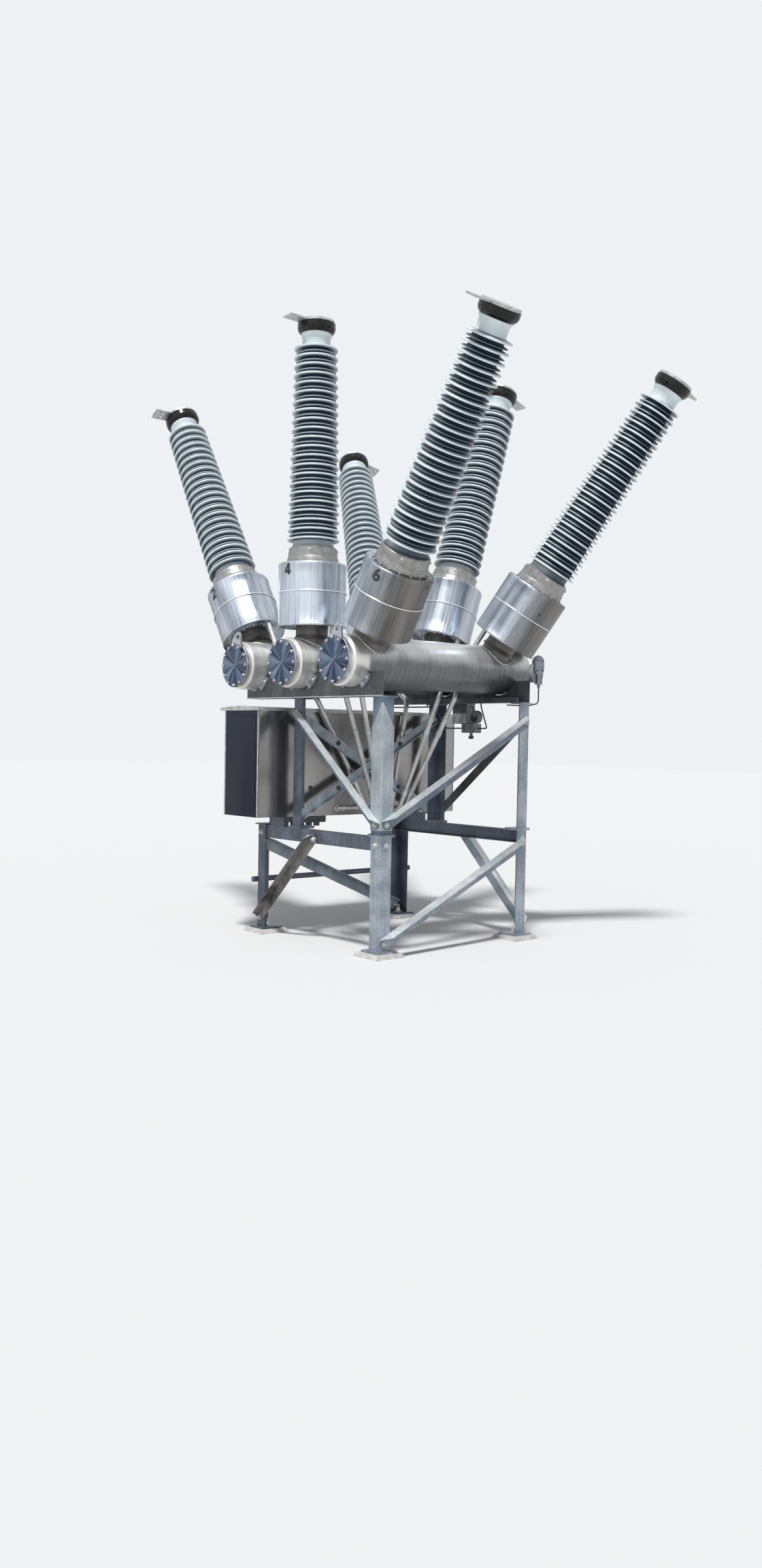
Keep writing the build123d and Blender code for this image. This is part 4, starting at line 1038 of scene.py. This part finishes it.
def hand(turn, start, end, half, low, high):
    """A strip on the dial along the spoke at that turn, from one radius to another."""
    spoke = np.array([math.cos(turn), math.sin(turn), 0])
    return strip(start * spoke, end * spoke, (0, 0, 1), half, low, high)


marks = [hand(turn, 0.038 if order % 3 else 0.034, 0.043, 0.0007, 0.0036, 0.0042)
         for order, turn in enumerate(np.radians(np.linspace(225, -45, 19)))]
marks.append(hand(1.1, -0.010, 0.032, 0.0012, 0.0040, 0.0048))
piece("gauge_marks", placed(together(*marks), dial), "gauge_metal", finish="shed_plain")

front = block(rounded(0.086, 0.043, 0.006), facing("-y", BOX_X, LID_Y, BOX_Z),
              [(0, 1), (0.0085, 1), (0.0105, 0.97)])
hood = block(rounded(0.083, 0.036, 0.004), facing("-y", BOX_X, LID_Y, HOOD_Z),
             [(0, 1), (0.004, 1), (0.005, 0.98)])
side = block(rounded(0.042, 0.043, 0.006), facing("+x", 0, VALVE_Y, BOX_Z),
             [(0.1875, 1), (0.194, 1), (0.196, 0.95)])
piece("monitor_lids", together(front, side), "gauge_metal", finish="lid_grey")
piece("monitor_hood", hood, "gauge_metal", finish="dark_metal")
screw = turned([(0, 0), (0.0045, 0), (0.0045, 0.0018), (0.0035, 0.0026), (0, 0.0026)], 12)
seats = [facing("-y", BOX_X + dx, LID_Y - 0.0105, BOX_Z + dz)
         for dx in (-0.074, 0.074) for dz in (-0.032, 0.032)]
fasteners("monitor_screws", placed(screw, seats))
wave = np.cos(8 * np.linspace(0, 2 * np.pi, 24, endpoint=False))[:, None]
knurl = circle(1, 24) * (KNOB_RADIUS + KNOB_WAVE * wave)
handle = block(knurl, upright(VALVE_X, VALVE_Y, 0), [(1.704, 0.85), (1.707, 1), (1.728, 1), (1.731, 0.85)])
lead = bent_path([(0.150, VALVE_Y, 1.990), (0.215, VALVE_Y, 1.990), (0.215, VALVE_Y, 1.945)], 0.025)
piece("monitor_valve", together(handle, carried(circle(0.005, 8), tube_frames(lead))), "pipe_black")

# %% [markdown]
# ## Conduit fittings
# Where a conduit meets the cabinet, a cast hub screws into a ring against the sheet. Higher up, couplings
# join its lengths; they are turned sleeves, set along the straight line from the tank down to the port.

# %% Conduit fittings
CABINET_FACE, PORT_Z, RUN_TOP, RUN_FRONT_Y, RUN_REAR_Y = -0.430, 1.060, 2.040, -0.550, 0.500
FRONT_PORT, REAR_PORT, PORT_STEP, SHORT_ELBOW, LONG_ELBOW = 0.050, 0.330, 0.058, 0.046, 0.090
CLEAR_OF_TANK, MIDDLE_TOP, COUPLED_AT = 0.027, 0.243, (0.30, 0.86)
seat_ring = ring([(0.0225, 0.0005), (0.031, 0.0005), (0.031, 0.010), (0.029, 0.012), (0.0225, 0.012)], 20)
hub = ring([(0.0222, 0.010), (0.0275, 0.010), (0.0285, 0.013), (0.0285, 0.030), (0.0265, 0.034),
            (0.0222, 0.034)], 20)
coupling = ring([(0.0222, -0.026), (0.0262, -0.026), (0.0270, -0.023), (0.0270, 0.023), (0.0262, 0.026),
                 (0.0222, 0.026)], 18)
ports, couplings = [], []
for number in bushings:
    pole, rear = (number - 1) // 2, number % 2
    port_y = (REAR_PORT if rear else FRONT_PORT) + PORT_STEP * pole
    ports.append(facing("+x", CABINET_FACE, port_y, PORT_Z))
    elbow_x = CABINET_FACE + (LONG_ELBOW if pole else SHORT_ELBOW)
    beside_x = pole_x[pole] + (-1 if pole == 2 else 1) * (tank_radius + CLEAR_OF_TANK)
    top_x = pole_x[1] + MIDDLE_TOP if pole == 1 else max(beside_x, elbow_x)
    high_end = np.array([top_x, RUN_REAR_Y if rear else RUN_FRONT_Y, RUN_TOP])
    run = np.array([elbow_x, port_y, PORT_Z]) - high_end
    couplings += [frame_at(high_end + share * run, run, (0, 1, 0.1)) for share in COUPLED_AT]
piece("conduit_ports", placed(together(seat_ring, hub), ports), "conduit_metal", finish="bolt_zinc")
piece("conduit_couplings", placed(coupling, couplings), "conduit_metal")

eyelet = turned([(0, 0.0005), (0.020, 0.0005), (0.020, 0.004), (0.016, 0.006), (0.012, 0.004),
                 (0.0115, 0.002), (0, 0.002)], 22)
piece("cabinet_eyelets", placed(eyelet, [facing("+x", CABINET_FACE, y, 1.257) for y in (-0.556, 0.62)]),
      "dark_metal")

# %% [markdown]
# ## Cabinet details
# The cabinet's outer side has two doors. Each gets three hinges, a swing handle and a pressed panel, and a
# row of rivets holds the roof. The narrow ends have a flat panel with a return edge. The sheet is folded
# over at the four corners, and the fold is painted paler than the sheet beside it as a painted highlight.

# %% Cabinet details
CABINET_X, CABINET_Y, CABINET_HIGH = (-0.930, CABINET_FACE), (-1.106, 1.148), 1.926
DOOR_FACE, DOOR_MARGIN, HINGE_Z, HANDLE_Z = CABINET_X[0] - 0.018, 0.030, (1.16, 1.46, 1.76), 1.46
half_door = (CABINET_Y[1] - CABINET_Y[0] - 0.068) / 4
barrel = turned([(0, -0.035), (0.007, -0.035), (0.007, 0.035), (0, 0.035)], 12)
fittings, panels, fold_highlights = [], [], []
for side, edge in zip((-1, 1), CABINET_Y):
    middle = edge - side * (DOOR_MARGIN + half_door)
    hinge_y, handle_y = middle + side * (half_door - 0.006), middle - side * (half_door - 0.070)
    fittings += [
        placed(barrel, [upright(DOOR_FACE - 0.004, hinge_y, z) for z in HINGE_Z]),
        block(rounded(0.022, 0.085, 0.010), facing("-x", DOOR_FACE, handle_y, HANDLE_Z),
              [(0, 1), (0.004, 1), (0.006, 0.95)]),
        block(rounded(0.011, 0.055, 0.009), facing("-x", DOOR_FACE, handle_y, HANDLE_Z - 0.015),
              [(0.006, 1), (0.016, 0.9)])]
    panels.append(block(rounded(half_door - 0.16, 0.33, 0.03), facing("-x", DOOR_FACE, middle, 1.450),
                        [(0, 1), (0.0025, 0.995)]))
    way = "-y" if side < 0 else "+y"
    panels.append(block(rounded(0.205, 0.40, 0.012), facing(way, -0.680, edge, 1.465),
                        [(0, 1), (0.003, 0.994)]))
    # Each fold is a pale strip: a painted highlight.
    fold_highlights += [block(rounded(0.008, 0.448, 0.003), facing(way, x, edge, 1.466),
                    [(0, 1), (0.0015, 1), (0.0022, 0.9)])
              for x in (CABINET_X[0] + 0.008, CABINET_X[1] - 0.008)]
piece("door_fittings", together(*fittings), "dark_metal")
piece("cabinet_panels", together(*panels), "stainless_sheet")
rivet = turned([(0, 0), (0.005, 0), (0.0042, 0.0018), (0.002, 0.0028), (0, 0.003)], 10)
seats = [facing("+x", CABINET_FACE + 0.018, y, CABINET_HIGH - 0.009) for y in np.linspace(-1.08, 1.12, 23)]
piece("roof_rivets", placed(rivet, seats), "stainless_sheet", finish="bolt_zinc")
piece("cabinet_folds", together(*fold_highlights), "stainless_sheet", finish="terminal_metal")

# %% [markdown]
# ## The level tube
# Low on the inner face a short tube leaves the sheet at a round boss, runs level and goes back in. It is one
# circle carried along a bent path, with two turned rings on it.

# %% The level tube
TUBE_X, TUBE_Z, TUBE_ENDS = -0.394, 1.078, (-0.262, 0.012)
corners = [(CABINET_FACE, TUBE_ENDS[0]), (TUBE_X, TUBE_ENDS[0]), (TUBE_X, TUBE_ENDS[1]),
           (CABINET_FACE, TUBE_ENDS[1])]
tube = bent_path([(x, y, TUBE_Z) for x, y in corners], 0.024, 7)
sleeve = ring([(0.0175, -0.016), (0.024, -0.016), (0.026, -0.013), (0.026, 0.013), (0.024, 0.016),
               (0.0175, 0.016)], 20)
sleeves = placed(sleeve, [frame_at((TUBE_X, y, TUBE_Z), (0, 1, 0), (0, 0, 1)) for y in (-0.226, -0.030)])
boss = turned([(0, 0), (0.031, 0), (0.031, 0.007), (0.028, 0.010), (0, 0.010)], 20)
bosses = placed(boss, [facing("+x", CABINET_FACE, y, TUBE_Z) for y in TUBE_ENDS])
piece("level_tube", together(carried(circle(0.0178, 16), tube_frames(tube)), sleeves, bosses),
      "conduit_metal")
